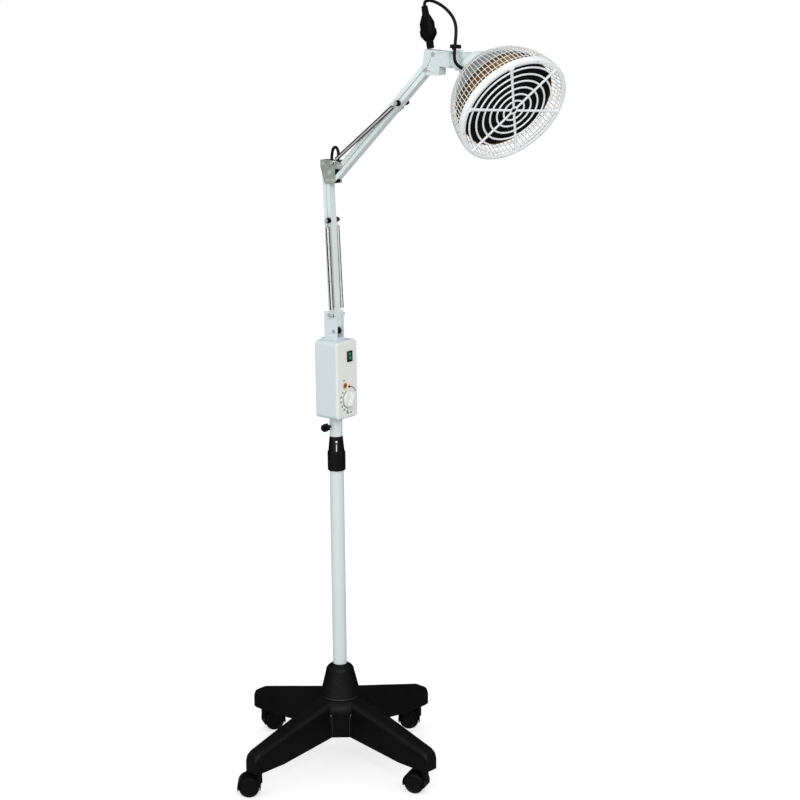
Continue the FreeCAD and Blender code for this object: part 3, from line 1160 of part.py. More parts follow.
def seat_head(thing, label):
    """Puts a piece of the head, made with +Z out through the grille, in its place on the tilt axis."""
    place(thing, "tilt_x", "tilt_y", "tilt_height", "-head_yaw", 0, "head_roll")
    node(thing, label)


def make_neck_cup():
    inner = "cup_radius - cup_wall"
    body = turned("neck_cup", (
        ("0", "cup_back"), ("cup_radius - cup_round", "cup_back"), ("cup_radius", "cup_back + cup_round"),
        ("cup_radius", "cup_front"), (inner, "cup_front"), (inner, "cup_back + cup_round"),
        ("cup_radius - cup_round", "cup_back + cup_wall"), ("0", "cup_back + cup_wall")),
        {1: "cup_round", 5: "-(cup_round - cup_wall)"})
    lug = new_sketch(body, "YZ")
    outline(lug, (("lug_radius", "0"), ("lug_radius", "cup_back + cup_wall / 2"),
                  ("-lug_radius", "cup_back + cup_wall / 2"), ("-lug_radius", "0"), ("0", "-lug_radius")),
            {3: "lug_radius", 4: "lug_radius"})
    pad(body, lug, "lug_width", both=True)
    cross_hole(body, [("0", "0")], "tilt_bolt_radius + running_gap", "lug_width + 2")
    seat_head(body, "neck_cup")


def make_rear_guard():
    """The wire guard as a thin bowl, from its collar on the neck to the rim."""
    collar = "cup_radius + fit_gap"
    outer = [(collar + " + guard_wall", "guard_start"), (collar + " + guard_wall", "guard_collar"),
             ("guard_mid_radius", "guard_mid_at"), ("guard_waist_radius", "guard_waist_at"),
             ("head_radius", "rim_rear")]
    inner = [("head_radius - guard_wall", "rim_rear"),
             ("guard_waist_radius - guard_wall", "guard_waist_at + guard_wall / 2"),
             ("guard_mid_radius - guard_wall * 0.7", "guard_mid_at + guard_wall * 0.8"),
             (collar, "guard_collar + guard_wall"), (collar, "guard_start")]
    body = turned("rear_guard", outer + inner,
                  {1: "guard_neck_arc", 2: "guard_mid_arc", 3: "guard_rim_arc",
                   5: "-guard_rim_arc", 6: "-guard_mid_arc", 7: "-guard_neck_arc"})
    seat_head(body, "rear_guard")


def make_front_grille():
    inside = "head_radius - rim_wall"
    back = "rim_front - grille_depth"
    body = turned("front_grille", (
        (inside, "rim_rear + fit_gap"), ("head_radius", "rim_rear + fit_gap"),
        ("head_radius", "rim_front - rim_wall"),
        (inside, "rim_front"), ("rim_inner", "rim_front"), ("rim_inner", back), (inside, back)))
    rings = new_sketch(body, "XY", back)
    for index in range(GRILLE_RINGS):
        middle = "grille_ring_first + %d * grille_ring_step" % index
        circle(rings, "0", "0", middle + " - grille_wire / 2")
        circle(rings, "0", "0", middle + " + grille_wire / 2")
    circle(rings, "0", "0", "grille_centre - grille_wire / 2")
    circle(rings, "0", "0", "grille_centre + grille_wire / 2")
    pad(body, rings, "grille_depth")
    spoke = new_sketch(body, "XY", back)
    start = "grille_centre"
    end = "rim_inner + rim_wall"
    turn_x, turn_y = "cos(spoke_phase)", "sin(spoke_phase)"
    half = "grille_spoke / 2"
    spots = [(start, "-"), (end, "-"), (end, "+"), (start, "+")]
    outline(spoke, [("(%s) * %s %s %s * %s" % (along, turn_x, "+" if sign == "-" else "-", half, turn_y),
                     "(%s) * %s %s %s * %s" % (along, turn_y, sign, half, turn_x))
                    for along, sign in spots])
    spoke_pad = pad(body, spoke, "grille_depth")
    polar(body, [spoke_pad], GRILLE_SPOKES)
    seat_head(body, "front_grille")


def make_heater():
    pan_bore = "stud_radius + running_gap"
    pan_inner = "pan_radius - pan_wall"
    pan = turned("heater_pan", (
        (pan_bore, "pan_back"), ("pan_radius", "pan_back"), ("pan_radius", "pan_front"),
        (pan_inner, "pan_front"),
        (pan_inner, "pan_back + pan_wall"), (pan_bore, "pan_back + pan_wall")))
    seat_head(pan, "heater_pan")
    element = tube("heating_element", "element_radius", pan_bore, "pan_back + pan_wall + fit_gap",
                   "plate_at - fit_gap")
    seat_head(element, "heating_element")
    plate = turned("mineral_plate", (
        ("0", "plate_at"), (pan_inner + " - plate_clearance", "plate_at"),
        (pan_inner + " - plate_clearance", "plate_at + plate_depth"), ("0", "plate_at + plate_depth")))
    seat_head(plate, "mineral_plate")
    rim = "pan_radius + shield_wall / 2"
    shield_floor = "shield_back + shield_wall"
    shield = turned("back_shield", (
        (pan_bore, "shield_back"), ("shield_back_radius", "shield_back"), (rim, "pan_back - 2 * shield_wall"),
        (rim, "pan_back - fit_gap"), ("pan_radius - 3 * shield_wall", "pan_back - fit_gap"),
        ("pan_radius - 3 * shield_wall", "pan_back - 2 * shield_wall"),
        (rim + " - shield_wall", "pan_back - 3 * shield_wall"),
        ("shield_back_radius - shield_wall / 2", shield_floor), (pan_bore, shield_floor)),
        {1: "shield_arc", 6: "-shield_arc"})
    seat_head(shield, "back_shield")
    stud_floor = "cup_back + cup_wall"
    stud = turned("stud", (("0", stud_floor), ("stud_radius", stud_floor), ("stud_radius", "plate_at"),
                           ("0", "plate_at")))
    inner = "stud_radius + fit_gap"
    outer = "stud_radius + spacer_tube"
    rear = tube("stud_spacer_rear", outer, inner, stud_floor, "shield_back")
    front = tube("stud_spacer_front", outer, inner, shield_floor, "pan_back")
    seat_head(group("centre_stud", [stud, rear, front]), "centre_stud")


# ---------------------------------------------------------------- in-line connector and leads

def octagon(sketch, width, depth, chamfer):
    """A rectangle with its corners cut off, the width along Y."""
    x, y = "(%s) / 2" % depth, "(%s) / 2" % width
    near_x, near_y = "%s - (%s)" % (x, chamfer), "%s - (%s)" % (y, chamfer)
    outline(sketch, ((x, "-(%s)" % near_y), (x, near_y), (near_x, y), ("-(%s)" % near_x, y),
                     ("-" + x, near_y), ("-" + x, "-(%s)" % near_y), ("-(%s)" % near_x, "-" + y),
                     (near_x, "-" + y)))


def make_connector():
    """Plug below and socket above, in a leaning frame with +Z up through both."""
    slim = ("inline_slim", "inline_slim", "inline_slim / 4")
    wide = ("inline_width", "inline_depth", "inline_chamfer")
    plug = turned("inline_plug", (
        ("0", "0"), ("boot_radius", "0"), ("boot_radius", "boot_length"), ("0", "boot_length")))
    sections = []
    for height, sizes in (("boot_length", slim), ("boot_length + plug_taper", wide), ("plug_face", wide)):
        sketch = new_sketch(plug, "XY", height)
        octagon(sketch, *sizes)
        sections.append(sketch)
    loft(plug, sections)
    place(plug, "0", "inline_y", "inline_floor", roll="-inline_lean")
    node(plug, "inline_plug")

    straight_top = "plug_face + socket_straight"
    taper_top = straight_top + " + socket_taper"
    boot_top = taper_top + " + socket_boot"
    bore = "lead_radius + running_gap"
    socket = turned("inline_socket", (
        ("0", taper_top), ("boot_radius", taper_top), ("boot_tip", boot_top), (bore, boot_top),
        (bore, boot_top + " - lead_hole_depth"), ("0", boot_top + " - lead_hole_depth")))
    sections = []
    trim = ("inline_width - 2 * socket_rib", "inline_depth - 2 * socket_rib", "inline_chamfer")
    for height, sizes in (("plug_face", trim), (straight_top, trim), (taper_top, slim)):
        sketch = new_sketch(socket, "XY", height)
        octagon(sketch, *sizes)
        sections.append(sketch)
    loft(socket, sections)
    place(socket, "0", "inline_y", "inline_floor", roll="-inline_lean")
    node(socket, "inline_socket")


def make_lead(name, points):
    """A lead along straight runs joined by tangent arcs, each as large as its two runs allow."""
    spots = [Vec(*point) for point in points]
    radius = number("lead_radius")
    edges = []
    radii = []
    start = spots[0]
    for index in range(1, len(spots) - 1):
        before = spots[index] - spots[index - 1]
        after = spots[index + 1] - spots[index]
        turn = before.getAngle(after)
        setback = 0.45 * min(before.Length, after.Length)
        bend = setback / math.tan(turn / 2)
        radii.append(bend)
        enter = spots[index] - before.normalize() * setback
        leave = spots[index] + after.normalize() * setback
        middle = (enter + leave) * 0.5
        inwards = (middle - spots[index]).normalize()
        top = spots[index] + inwards * (bend / math.cos(turn / 2) - bend)
        edges.append(Part.LineSegment(start, enter).toShape())
        edges.append(Part.Arc(enter, top, leave).toShape())
        start = leave
    edges.append(Part.LineSegment(start, spots[-1]).toShape())
    path = Part.Wire(edges)
    section = Part.Wire(Part.makeCircle(radius, spots[0], spots[1] - spots[0]))
    shape = path.makePipeShell([section], True, True)
    length = sum(edge.Length for edge in edges)
    ratio = shape.Volume / (math.pi * radius ** 2 * length)
    bends = [round(value, 1) for value in radii]
    print(name, "length %.1f" % length, "radii", bends, "volume ratio %.4f" % ratio)
    lead = doc.addObject("Part::Feature", name)
    lead.Shape = shape
    node(lead, name)


def make_cable_clip():
    """A band round the lead with a small tab."""
    bore = "lead_radius + 2 * running_gap"
    body = tube("cable_clip", "clip_radius", bore, "-clip_width / 2", "clip_width / 2")
    tab = new_sketch(body, "XY", "-clip_tab_width / 2")
    rectangle(tab, "clip_tab", "clip_tab_depth", "clip_radius + clip_tab / 2 - fit_gap")
    pad(body, tab, "clip_tab_width")
    place(body, "clip_x", "clip_y", "clip_z", "-clip_yaw", "clip_pitch", "clip_roll")
    node(body, "cable_clip")


# ---------------------------------------------------------------- the whole lamp

def check_document():
    """Stops where a feature failed or a sub-part's shape can't be used."""
    failed = [thing.Name for thing in doc.Objects if "Invalid" in thing.State or "Error" in thing.State]
    empty = [thing.Label for thing in nodes
             if thing.Shape.isNull() or not thing.Shape.isValid() or not thing.Shape.Solids]
    if failed or empty:
        raise RuntimeError("failed features %s, sub-parts without a valid solid %s" % (failed, empty))


def main():
    write_sheet()
    make_star_base()
    make_hub_cone()
    make_ballast()
    make_base_bolt()
    for index, heading in enumerate(CASTOR_HEADINGS):
        make_castor(index, heading)
    make_post()
    make_lock_ring()
    make_sleeve()
    make_sleeve_knob()
    make_box()
    make_box_screws()
    make_switch()
    make_lens()
    make_timer()
    make_inlet()
    make_terminal_block()
    make_fork()
    make_fork_bolt()
    make_arms()
    make_elbow()
    make_head_bracket()
    make_yaw_bolt()
    make_yoke()
    make_neck_cup()
    make_rear_guard()
    make_front_grille()
    make_heater()
    make_connector()
    make_lead("elbow_lead", ELBOW_LEAD)
    make_lead("head_lead", HEAD_LEAD)
    make_cable_clip()
    doc.recompute()
    check_document()
    os.makedirs("parts", exist_ok=True)
    for thing in nodes:
        thing.Shape.exportStep("parts/%s.step" % thing.Label)
        print("%-20s solids %d volume %.0f" % (thing.Label, len(thing.Shape.Solids), thing.Shape.Volume))
    print(len(nodes), "nodes")


main()
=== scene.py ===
import math
import bpy
from mathutils import Matrix, Vector


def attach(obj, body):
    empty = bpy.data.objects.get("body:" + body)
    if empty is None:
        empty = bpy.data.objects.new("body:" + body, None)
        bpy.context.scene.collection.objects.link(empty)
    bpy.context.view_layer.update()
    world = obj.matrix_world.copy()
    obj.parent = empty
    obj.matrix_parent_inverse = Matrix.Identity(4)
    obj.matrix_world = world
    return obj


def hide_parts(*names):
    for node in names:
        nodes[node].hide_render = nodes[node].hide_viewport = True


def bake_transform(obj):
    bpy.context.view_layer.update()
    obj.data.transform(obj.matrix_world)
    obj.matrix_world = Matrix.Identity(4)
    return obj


# Infrared heat therapy lamp: camera, materials, leads, springs, detail pieces, floor and light. +Z is up.
# Meshes are built in millimetres, as part.py's solids are, and made in metres. The camera, the lights, the
# modifiers and the materials are in metres.

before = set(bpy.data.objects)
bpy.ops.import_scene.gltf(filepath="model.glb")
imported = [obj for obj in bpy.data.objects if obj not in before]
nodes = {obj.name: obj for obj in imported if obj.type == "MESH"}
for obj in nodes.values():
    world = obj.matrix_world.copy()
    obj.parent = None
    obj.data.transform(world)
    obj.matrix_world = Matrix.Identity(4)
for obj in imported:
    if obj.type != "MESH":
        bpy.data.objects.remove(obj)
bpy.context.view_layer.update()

MM = 0.001
scene = bpy.context.scene


def spot(x, y, z):
    return Matrix.Translation((x, y, z))


def turn(degrees, axis):
    return Matrix.Rotation(math.radians(degrees), 4, axis)


def metres(point):
    return tuple(value * MM for value in point)


# The head's own frame: its origin, its swivel and its tilt. Its Z axis runs out through the grille.
HEAD_PLACE = (-6.49, -328.06, 1421.0)
HEAD_SWIVEL = -16.4
HEAD_TILT = 123.1
HEAD = spot(*HEAD_PLACE) @ turn(HEAD_SWIVEL, "Z") @ turn(HEAD_TILT, "X")


# ---------------------------------------------------------------- camera

CAMERA_PLACE = (-2.5753, -2.2601, 1.5201)
CAMERA_RIGHT = (0.65965, -0.75157, 0.0)
CAMERA_FORWARD = (0.737, 0.6468, -0.19614)
CAMERA_ROLL = -0.977
FOCAL_LENGTH = 80.34
LENS_SHIFT = (0.0815, -0.0508)
SENSOR_WIDTH = 36.0
VIEW_DEPTH = 60.0


def make_camera():
    """The photograph's view, as solved from the lamp's pins, corners, castors and head."""
    right = Vector(CAMERA_RIGHT).normalized()
    forward = Vector(CAMERA_FORWARD).normalized()
    up = right.cross(forward)
    roll = math.radians(CAMERA_ROLL)
    side = right * math.cos(roll) + up * math.sin(roll)
    top = side.cross(forward)
    data = bpy.data.cameras.new("Camera")
    data.lens = FOCAL_LENGTH
    data.sensor_width = SENSOR_WIDTH
    data.shift_x = LENS_SHIFT[0]
    data.shift_y = LENS_SHIFT[1]
    data.clip_end = VIEW_DEPTH
    camera = bpy.data.objects.new("Camera", data)
    facing = Matrix((side, top, -forward)).transposed().to_4x4()
    camera.matrix_world = Matrix.Translation(CAMERA_PLACE) @ facing
    scene.collection.objects.link(camera)
    scene.camera = camera


make_camera()


# ---------------------------------------------------------------- materials

# The noise values between which a finish goes from its darker to its lighter colour, and from its most
# polished to its roughest, and how many times finer the gloss varies than the colour.
PATCH_EDGES = (0.32, 0.68)
GLOSS_EDGES = (0.3, 0.7)
GLOSS_FINENESS = 4.3
LEAST_ROUGH = 0.02


def finish(name, colour, rough, metal=0.0, shade=0.05, patch=18.0, spread=0.06, grain=900.0, bump=0.12,
           depth=0.0002, pattern="noise", tint=None, **sockets):
    """A surface with patchy colour, uneven gloss and a fine relief, all from object coordinates."""
    material = bpy.data.materials.new(name)
    material.use_nodes = True
    tree = material.node_tree
    shader = tree.nodes["Principled BSDF"]
    shader.inputs["Metallic"].default_value = metal
    for socket, value in sockets.items():
        shader.inputs[socket.replace("_", " ")].default_value = value
    where = tree.nodes.new("ShaderNodeTexCoord").outputs["Object"]

    def noise(scale, detail=3.0):
        node = tree.nodes.new("ShaderNodeTexNoise")
        node.inputs["Scale"].default_value = scale
        node.inputs["Detail"].default_value = detail
        tree.links.new(where, node.inputs["Vector"])
        return node.outputs["Fac"]

    ramp = tree.nodes.new("ShaderNodeValToRGB")
    darker, lighter = ramp.color_ramp.elements
    darker.position = PATCH_EDGES[0]
    lighter.position = PATCH_EDGES[1]
    darker.color = (*[max(0.0, c * (1 - shade)) for c in colour], 1)
    lighter.color = (*[min(1.0, c * (1 + shade)) for c in tint or colour], 1)
    tree.links.new(noise(patch), ramp.inputs["Fac"])
    tree.links.new(ramp.outputs["Color"], shader.inputs["Base Color"])
    gloss = tree.nodes.new("ShaderNodeMapRange")
    gloss.inputs["From Min"].default_value = GLOSS_EDGES[0]
    gloss.inputs["From Max"].default_value = GLOSS_EDGES[1]
    gloss.inputs["To Min"].default_value = max(LEAST_ROUGH, rough - spread)
    gloss.inputs["To Max"].default_value = rough + spread
    tree.links.new(noise(patch * GLOSS_FINENESS, 5.0), gloss.inputs["Value"])
    tree.links.new(gloss.outputs["Result"], shader.inputs["Roughness"])
    if pattern == "noise":
        relief = noise(grain, 2.0)
    else:
        cells = tree.nodes.new("ShaderNodeTexVoronoi")
        cells.feature = "SMOOTH_F1"
        cells.inputs["Scale"].default_value = grain
        tree.links.new(where, cells.inputs["Vector"])
        relief = cells.outputs["Distance"]
    skin = tree.nodes.new("ShaderNodeBump")
    skin.inputs["Strength"].default_value = bump
    skin.inputs["Distance"].default_value = depth
    tree.links.new(relief, skin.inputs["Height"])
    tree.links.new(skin.outputs["Normal"], shader.inputs["Normal"])
    return material


BOX_COLOUR = (0.645, 0.73, 0.76)
PAINT_DEPTH = 0.00005
PLATING_DEPTH = 0.0001

# Paint and enamel.
WHITE = finish("white_powder_coat", (0.66, 0.735, 0.75), 0.4, shade=0.02, patch=9.0, grain=700.0, bump=0.05,
               depth=PAINT_DEPTH)
BARS = finish("white_arm_paint", (0.72, 0.795, 0.79), 0.36, shade=0.02, patch=11.0, grain=700.0, bump=0.05,
              depth=PAINT_DEPTH)
BOX = finish("box_enamel", BOX_COLOUR, 0.44, shade=0.02, patch=13.0, bump=0.06, depth=PAINT_DEPTH)
PANEL = finish("panel_enamel", (0.80, 0.825, 0.79), 0.42, shade=0.02, patch=13.0, bump=0.06,
               depth=PAINT_DEPTH)
WIRE = finish("guard_wire_coat", (0.86, 0.88, 0.86), 0.34, shade=0.07, patch=90.0, grain=1500.0, bump=0.1,
              depth=PLATING_DEPTH)
GRILLE = finish("grille_enamel", (0.84, 0.87, 0.875), 0.36, shade=0.03, patch=40.0, grain=1300.0, bump=0.1)
INK = finish("black_print", (0.02, 0.02, 0.022), 0.5, shade=0.2, patch=300.0, grain=1500.0, bump=0.05)
PRINT = finish("white_print", (0.75, 0.77, 0.76), 0.45, shade=0.04, patch=300.0, grain=1500.0, bump=0.05)

# Black mouldings and rubber.
BASE = finish("grained_black_moulding", (0.003, 0.003, 0.0032), 0.37, shade=0.25, patch=14.0, grain=380.0,
              bump=0.8, depth=0.001, pattern="cells", Specular_IOR_Level=0.13)
EDGE = finish("polished_black_edge", (0.004, 0.004, 0.0042), 0.24, shade=0.25, patch=30.0, spread=0.05,
              grain=600.0, bump=0.2, depth=0.0003, Specular_IOR_Level=0.9)
WHEEL = finish("black_nylon_tread", (0.004, 0.004, 0.0045), 0.44, shade=0.3, patch=40.0,
               Specular_IOR_Level=0.13)
BLACK = finish("black_plastic", (0.0035, 0.0035, 0.0036), 0.34, shade=0.2, patch=40.0, grain=1100.0,
               Specular_IOR_Level=0.14)
RUBBER = finish("black_lead_sleeve", (0.0035, 0.0035, 0.0038), 0.38, shade=0.25, patch=60.0, grain=1600.0,
                bump=0.15, Specular_IOR_Level=0.14)
MATT = finish("matt_black_moulding", (0.0032, 0.0032, 0.0033), 0.55, shade=0.2, patch=40.0, grain=1100.0,
              Specular_IOR_Level=0.06)

# Metals.
CHROME = finish("chrome_plate", (0.86, 0.85, 0.83), 0.1, 1.0, shade=0.06, patch=50.0, spread=0.04,
                grain=2200.0, bump=0.05, depth=PLATING_DEPTH)
# Near-black chrome: painted shade on the springs' flanks.
PAINTED_SHADE_CHROME = finish("chrome_painted_flank_shade", (0.022, 0.022, 0.023), 0.18, 1.0, shade=0.15, patch=50.0, spread=0.05,
                     grain=2200.0, bump=0.05, depth=PLATING_DEPTH)
ZINC = finish("zinc_plate", (0.42, 0.49, 0.44), 0.34, 0.6, shade=0.1, patch=90.0, bump=0.05,
              depth=PAINT_DEPTH, tint=(0.47, 0.52, 0.48))
STEEL = finish("bright_steel", (0.70, 0.72, 0.71), 0.26, 0.7, shade=0.08, patch=120.0, grain=1500.0,
               bump=0.05, depth=PAINT_DEPTH)
IRON = finish("cast_iron", (0.05, 0.05, 0.052), 0.62, 0.6, shade=0.3, patch=60.0, grain=500.0, bump=0.6,
              depth=0.0006)
COPPER = finish("copper_pan", (0.20, 0.085, 0.022), 0.36, 0.85, shade=0.35, patch=42.0, spread=0.1,
                bump=0.08, tint=(0.30, 0.17, 0.045))
SHIELD = finish("spun_aluminium", (0.66, 0.69, 0.68), 0.42, 0.82, patch=40.0, grain=600.0, bump=0.06)
PLATE = finish("mineral_coat", (0.004, 0.004, 0.0045), 0.62, shade=0.4, patch=70.0, spread=0.12, grain=700.0,
               bump=0.35, depth=0.0003, Specular_IOR_Level=0.12)

# Coloured and pale mouldings.
GREEN = finish("green_rocker", (0.008, 0.085, 0.045), 0.26, shade=0.35, patch=240.0, spread=0.05, bump=0.04,
               tint=(0.014, 0.13, 0.07), Coat_Weight=0.3, Coat_Roughness=0.12)
AMBER = finish("amber_lens", (0.075, 0.022, 0.005), 0.3, shade=0.3, patch=320.0, spread=0.04, grain=700.0,
               bump=0.1, tint=(0.16, 0.05, 0.008), Coat_Weight=0.3, Coat_Roughness=0.1)
RING = finish("orange_ring", (0.86, 0.50, 0.20), 0.34, shade=0.12, patch=260.0, bump=0.05)
DIAL = finish("white_dial", (0.74, 0.77, 0.75), 0.36, shade=0.02, patch=60.0, spread=0.04, bump=0.05,
              depth=PAINT_DEPTH)
PALE = finish("pale_moulding", (0.60, 0.58, 0.52), 0.5, shade=0.06, patch=60.0, grain=700.0, bump=0.15)


def level_along(tree, coordinates, direction, places, levels=(0.0, 1.0), curve="LINEAR"):
    """A socket whose level goes from one value to another between two places along a direction."""
    where = tree.nodes.new("ShaderNodeTexCoord")
    along = tree.nodes.new("ShaderNodeVectorMath")
    along.operation = "DOT_PRODUCT"
    along.inputs[1].default_value = direction
    level = tree.nodes.new("ShaderNodeMapRange")
    level.interpolation_type = curve
    level.inputs["From Min"].default_value = places[0]
    level.inputs["From Max"].default_value = places[1]
    level.inputs["To Min"].default_value = levels[0]
    level.inputs["To Max"].default_value = levels[1]
    tree.links.new(where.outputs[coordinates], along.inputs[0])
    tree.links.new(along.outputs["Value"], level.inputs["Value"])
    return level.outputs["Result"]


# The colour sockets of a Mix node, which share their names with its number sockets.
MIX_FACTOR = 0
MIX_FIRST = 6
MIX_SECOND = 7
MIX_RESULT = 2


def blend_colour(material, colour, direction, places):
    """Turns a finish into another colour between two places along a direction, in metres."""
    tree = material.node_tree
    shader = tree.nodes["Principled BSDF"]
    before = shader.inputs["Base Color"].links[0].from_socket
    mix = tree.nodes.new("ShaderNodeMix")
    mix.data_type = "RGBA"
    mix.inputs[MIX_SECOND].default_value = (*colour, 1)
    tree.links.new(level_along(tree, "Object", direction, places), mix.inputs[MIX_FACTOR])
    tree.links.new(before, mix.inputs[MIX_FIRST])
    tree.links.new(mix.outputs[MIX_RESULT], shader.inputs["Base Color"])


# The shield darkens to copper beside the pan, a painted reflection of the pan, and the panel takes the box's
# colour round its edge.
PAN_PAINTED_REFLECTION = (0.17, 0.10, 0.03)
PAN_REFLECTION_SPAN = (0.106, 0.112)
PANEL_EDGE = (-0.0313, -0.0285)
head_axis = HEAD.col[2].to_3d()
head_foot = head_axis.dot(HEAD.translation * MM)
blend_colour(SHIELD, PAN_PAINTED_REFLECTION, head_axis, [head_foot + place for place in PAN_REFLECTION_SPAN])
blend_colour(PANEL, BOX_COLOUR, (0.0, 1.0, 0.0), PANEL_EDGE)

CASTORS = range(1, 5)
NODE_FINISHES = {
    BASE: ("star_base", "hub_cone", *["castor_hood_%d" % k for k in CASTORS]),
    WHEEL: ["castor_wheels_%d" % k for k in CASTORS],
    IRON: ("ballast_weight",),
    STEEL: ("base_bolt", "box_screws", "fork_bolt", "fork_pins", "lower_spring_pin", "upper_spring_pin",
            "elbow_pins", "bracket_pins", "centre_stud"),
    CHROME: ("inner_post", "lower_springs", "upper_springs"),
    WHITE: ("lower_post", "box_sleeve", "arm_fork", "head_bracket", "tilt_yoke", "neck_cup", "yaw_bolt",
            "tilt_bolt"),
    BARS: ("lower_bar_front", "lower_bar_rear", "upper_bar_bottom", "upper_bar_top"),
    BLACK: ("collet", "lock_ring", "sleeve_knob", "switch_housing", "mains_inlet", "elbow_spacer",
            "cable_clip"),
    MATT: ("inline_plug", "inline_socket"),
    BOX: ("box_back",),
    PANEL: ("box_front",),
    GREEN: ("switch_rocker",),
    AMBER: ("indicator_lens",),
    PALE: ("timer_body", "terminal_block", "heating_element"),
    DIAL: ("timer_knob",),
    WIRE: ("rear_guard",),
    GRILLE: ("front_grille",),
    COPPER: ("heater_pan",),
    PLATE: ("mineral_plate",),
    SHIELD: ("back_shield",),
    ZINC: ("elbow_bracket",),
    RUBBER: ("elbow_lead", "head_lead"),
}

for material, names in NODE_FINISHES.items():
    for name in names:
        slots = nodes[name].data.materials
        slots.clear()
        slots.append(material)


# ---------------------------------------------------------------- rounded edges on the CAD nodes

WELD_DISTANCE = 0.000002
SHARP_FROM = 35.0

# How wide the rounding is, and the nodes that get it.
ROUNDING = {
    1.2: ("star_base",),
    0.9: ("inline_plug", "inline_socket"),
    0.6: ("timer_knob",),
    0.5: ("arm_fork", "head_bracket", "elbow_spacer"),
    0.4: ("lower_bar_front", "lower_bar_rear", "upper_bar_bottom", "upper_bar_top", "tilt_yoke"),
    0.35: ("box_back", "box_front", "elbow_bracket"),
    0.3: ("switch_housing", "mains_inlet"),
}


def soften(thing, width):
    """Rounds the sharp edges of a carried-over CAD node with modifiers."""
    thing.data.polygons.foreach_set("use_smooth", [True] * len(thing.data.polygons))
    weld = thing.modifiers.new("weld", "WELD")
    weld.merge_threshold = WELD_DISTANCE
    bevel = thing.modifiers.new("bevel", "BEVEL")
    bevel.width = width
    bevel.segments = 2
    bevel.limit_method = "ANGLE"
    bevel.angle_limit = math.radians(SHARP_FROM)
    bevel.use_clamp_overlap = True
    even = thing.modifiers.new("even_normals", "WEIGHTED_NORMAL")
    even.weight = 80
    even.mode = "FACE_AREA"


for width, names in ROUNDING.items():
    for name in names:
        soften(nodes[name], width * MM)


# ---------------------------------------------------------------- mesh building

class Shape:
    """Vertices and faces of one piece, built in millimetres from tubes, turned profiles and blocks."""

    def __init__(self):
        self.points = []
        self.faces = []

    def add(self, points, faces, matrix=None):
        first = len(self.points)
        self.points += [matrix @ Vector(point) if matrix else Vector(point) for point in points]
        self.faces += [[first + corner for corner in face] for face in faces]

    def tube(self, path, radius, sides, closed=False, matrix=None):
        """A round tube along a path, its section carried along without twist."""
        path = [Vector(point) for point in path]
        count = len(path)
        radii = radius if isinstance(radius, (list, tuple)) else [radius] * count
        points = []
        normal = None
        for index, place in enumerate(path):
            if closed:
                along = path[(index + 1) % count] - path[index - 1]
            else:
                along = path[min(index + 1, count - 1)] - path[max(index - 1, 0)]
            along.normalize()
            if normal is None:
                normal = along.orthogonal().normalized()
            normal = (normal - along * normal.dot(along)).normalized()
            side = along.cross(normal)
            for step in range(sides):
                angle = 2 * math.pi * step / sides
                points.append(place + (normal * math.cos(angle) + side * math.sin(angle)) * radii[index])
        faces = []
        for index in range(count if closed else count - 1):
            here, there = index * sides, (index + 1) % count * sides
            shift = 0
            if closed and index == count - 1:
                shift = min(range(sides), key=lambda k: (points[here] - points[k]).length)
            for step in range(sides):
                after = (step + 1) % sides
                faces.append([here + step, here + after, there + (after + shift) % sides,
                              there + (step + shift) % sides])
        if not closed:
            faces.append(list(range(sides))[::-1])
            faces.append([(count - 1) * sides + step for step in range(sides)])
        self.add(points, faces, matrix)

    def turned(self, profile, steps, matrix=None):
        """A closed (radius, height) profile turned about Z."""
        count = len(profile)
        points = []
        for step in range(steps):
            angle = 2 * math.pi * step / steps
            points += [(r * math.cos(angle), r * math.sin(angle), z) for r, z in profile]
        faces = []
        for step in range(steps):
            here, there = step * count, (step + 1) % steps * count
            for index in range(count):
                after = (index + 1) % count
                faces.append([here + index, there + index, there + after, here + after])
        self.add(points, faces, matrix)

    def disc(self, radius, low, high, steps, matrix, edge):
        """A round plate about Z with softened rims."""
        rim = [(radius - edge, low), (radius, low + edge), (radius, high - edge), (radius - edge, high)]
        points = []
        for step in range(steps):
            angle = 2 * math.pi * step / steps
            points += [(r * math.cos(angle), r * math.sin(angle), z) for r, z in rim]
        faces = [[step * 4 for step in range(steps)][::-1], [step * 4 + 3 for step in range(steps)]]
        for step in range(steps):
            here, there = step * 4, (step + 1) % steps * 4
            faces += [[here + k, there + k, there + k + 1, here + k + 1] for k in range(3)]
        self.add(points, faces, matrix)

    def block(self, low, high, matrix=None, edge=0.0):
        """A block whose four edges along Z are cut at 45 degrees."""
        (x0, y0, z0), (x1, y1, z1) = low, high
        ring = [(x0 + edge, y0), (x1 - edge, y0), (x1, y0 + edge), (x1, y1 - edge), (x1 - edge, y1),
                (x0 + edge, y1), (x0, y1 - edge), (x0, y0 + edge)]
        points = [(x, y, z0) for x, y in ring] + [(x, y, z1) for x, y in ring]
        faces = [list(range(8))[::-1], list(range(8, 16))]
        faces += [[k, (k + 1) % 8, 8 + (k + 1) % 8, 8 + k] for k in range(8)]
        self.add(points, faces, matrix)

    def make(self, name, body, material, smooth=True, angle=40.0):
        """The piece itself, in metres. It rides on a body when one is given."""
        mesh = bpy.data.meshes.new(name)
        mesh.from_pydata([tuple(point * MM) for point in self.points], [], self.faces)
        mesh.validate()
        mesh.materials.append(material)
        thing = bpy.data.objects.new(name, mesh)
        scene.collection.objects.link(thing)
        if smooth:
            mesh.shade_smooth()
            mesh.set_sharp_from_angle(angle=math.radians(angle))
        if body:
            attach(thing, body)
        return thing


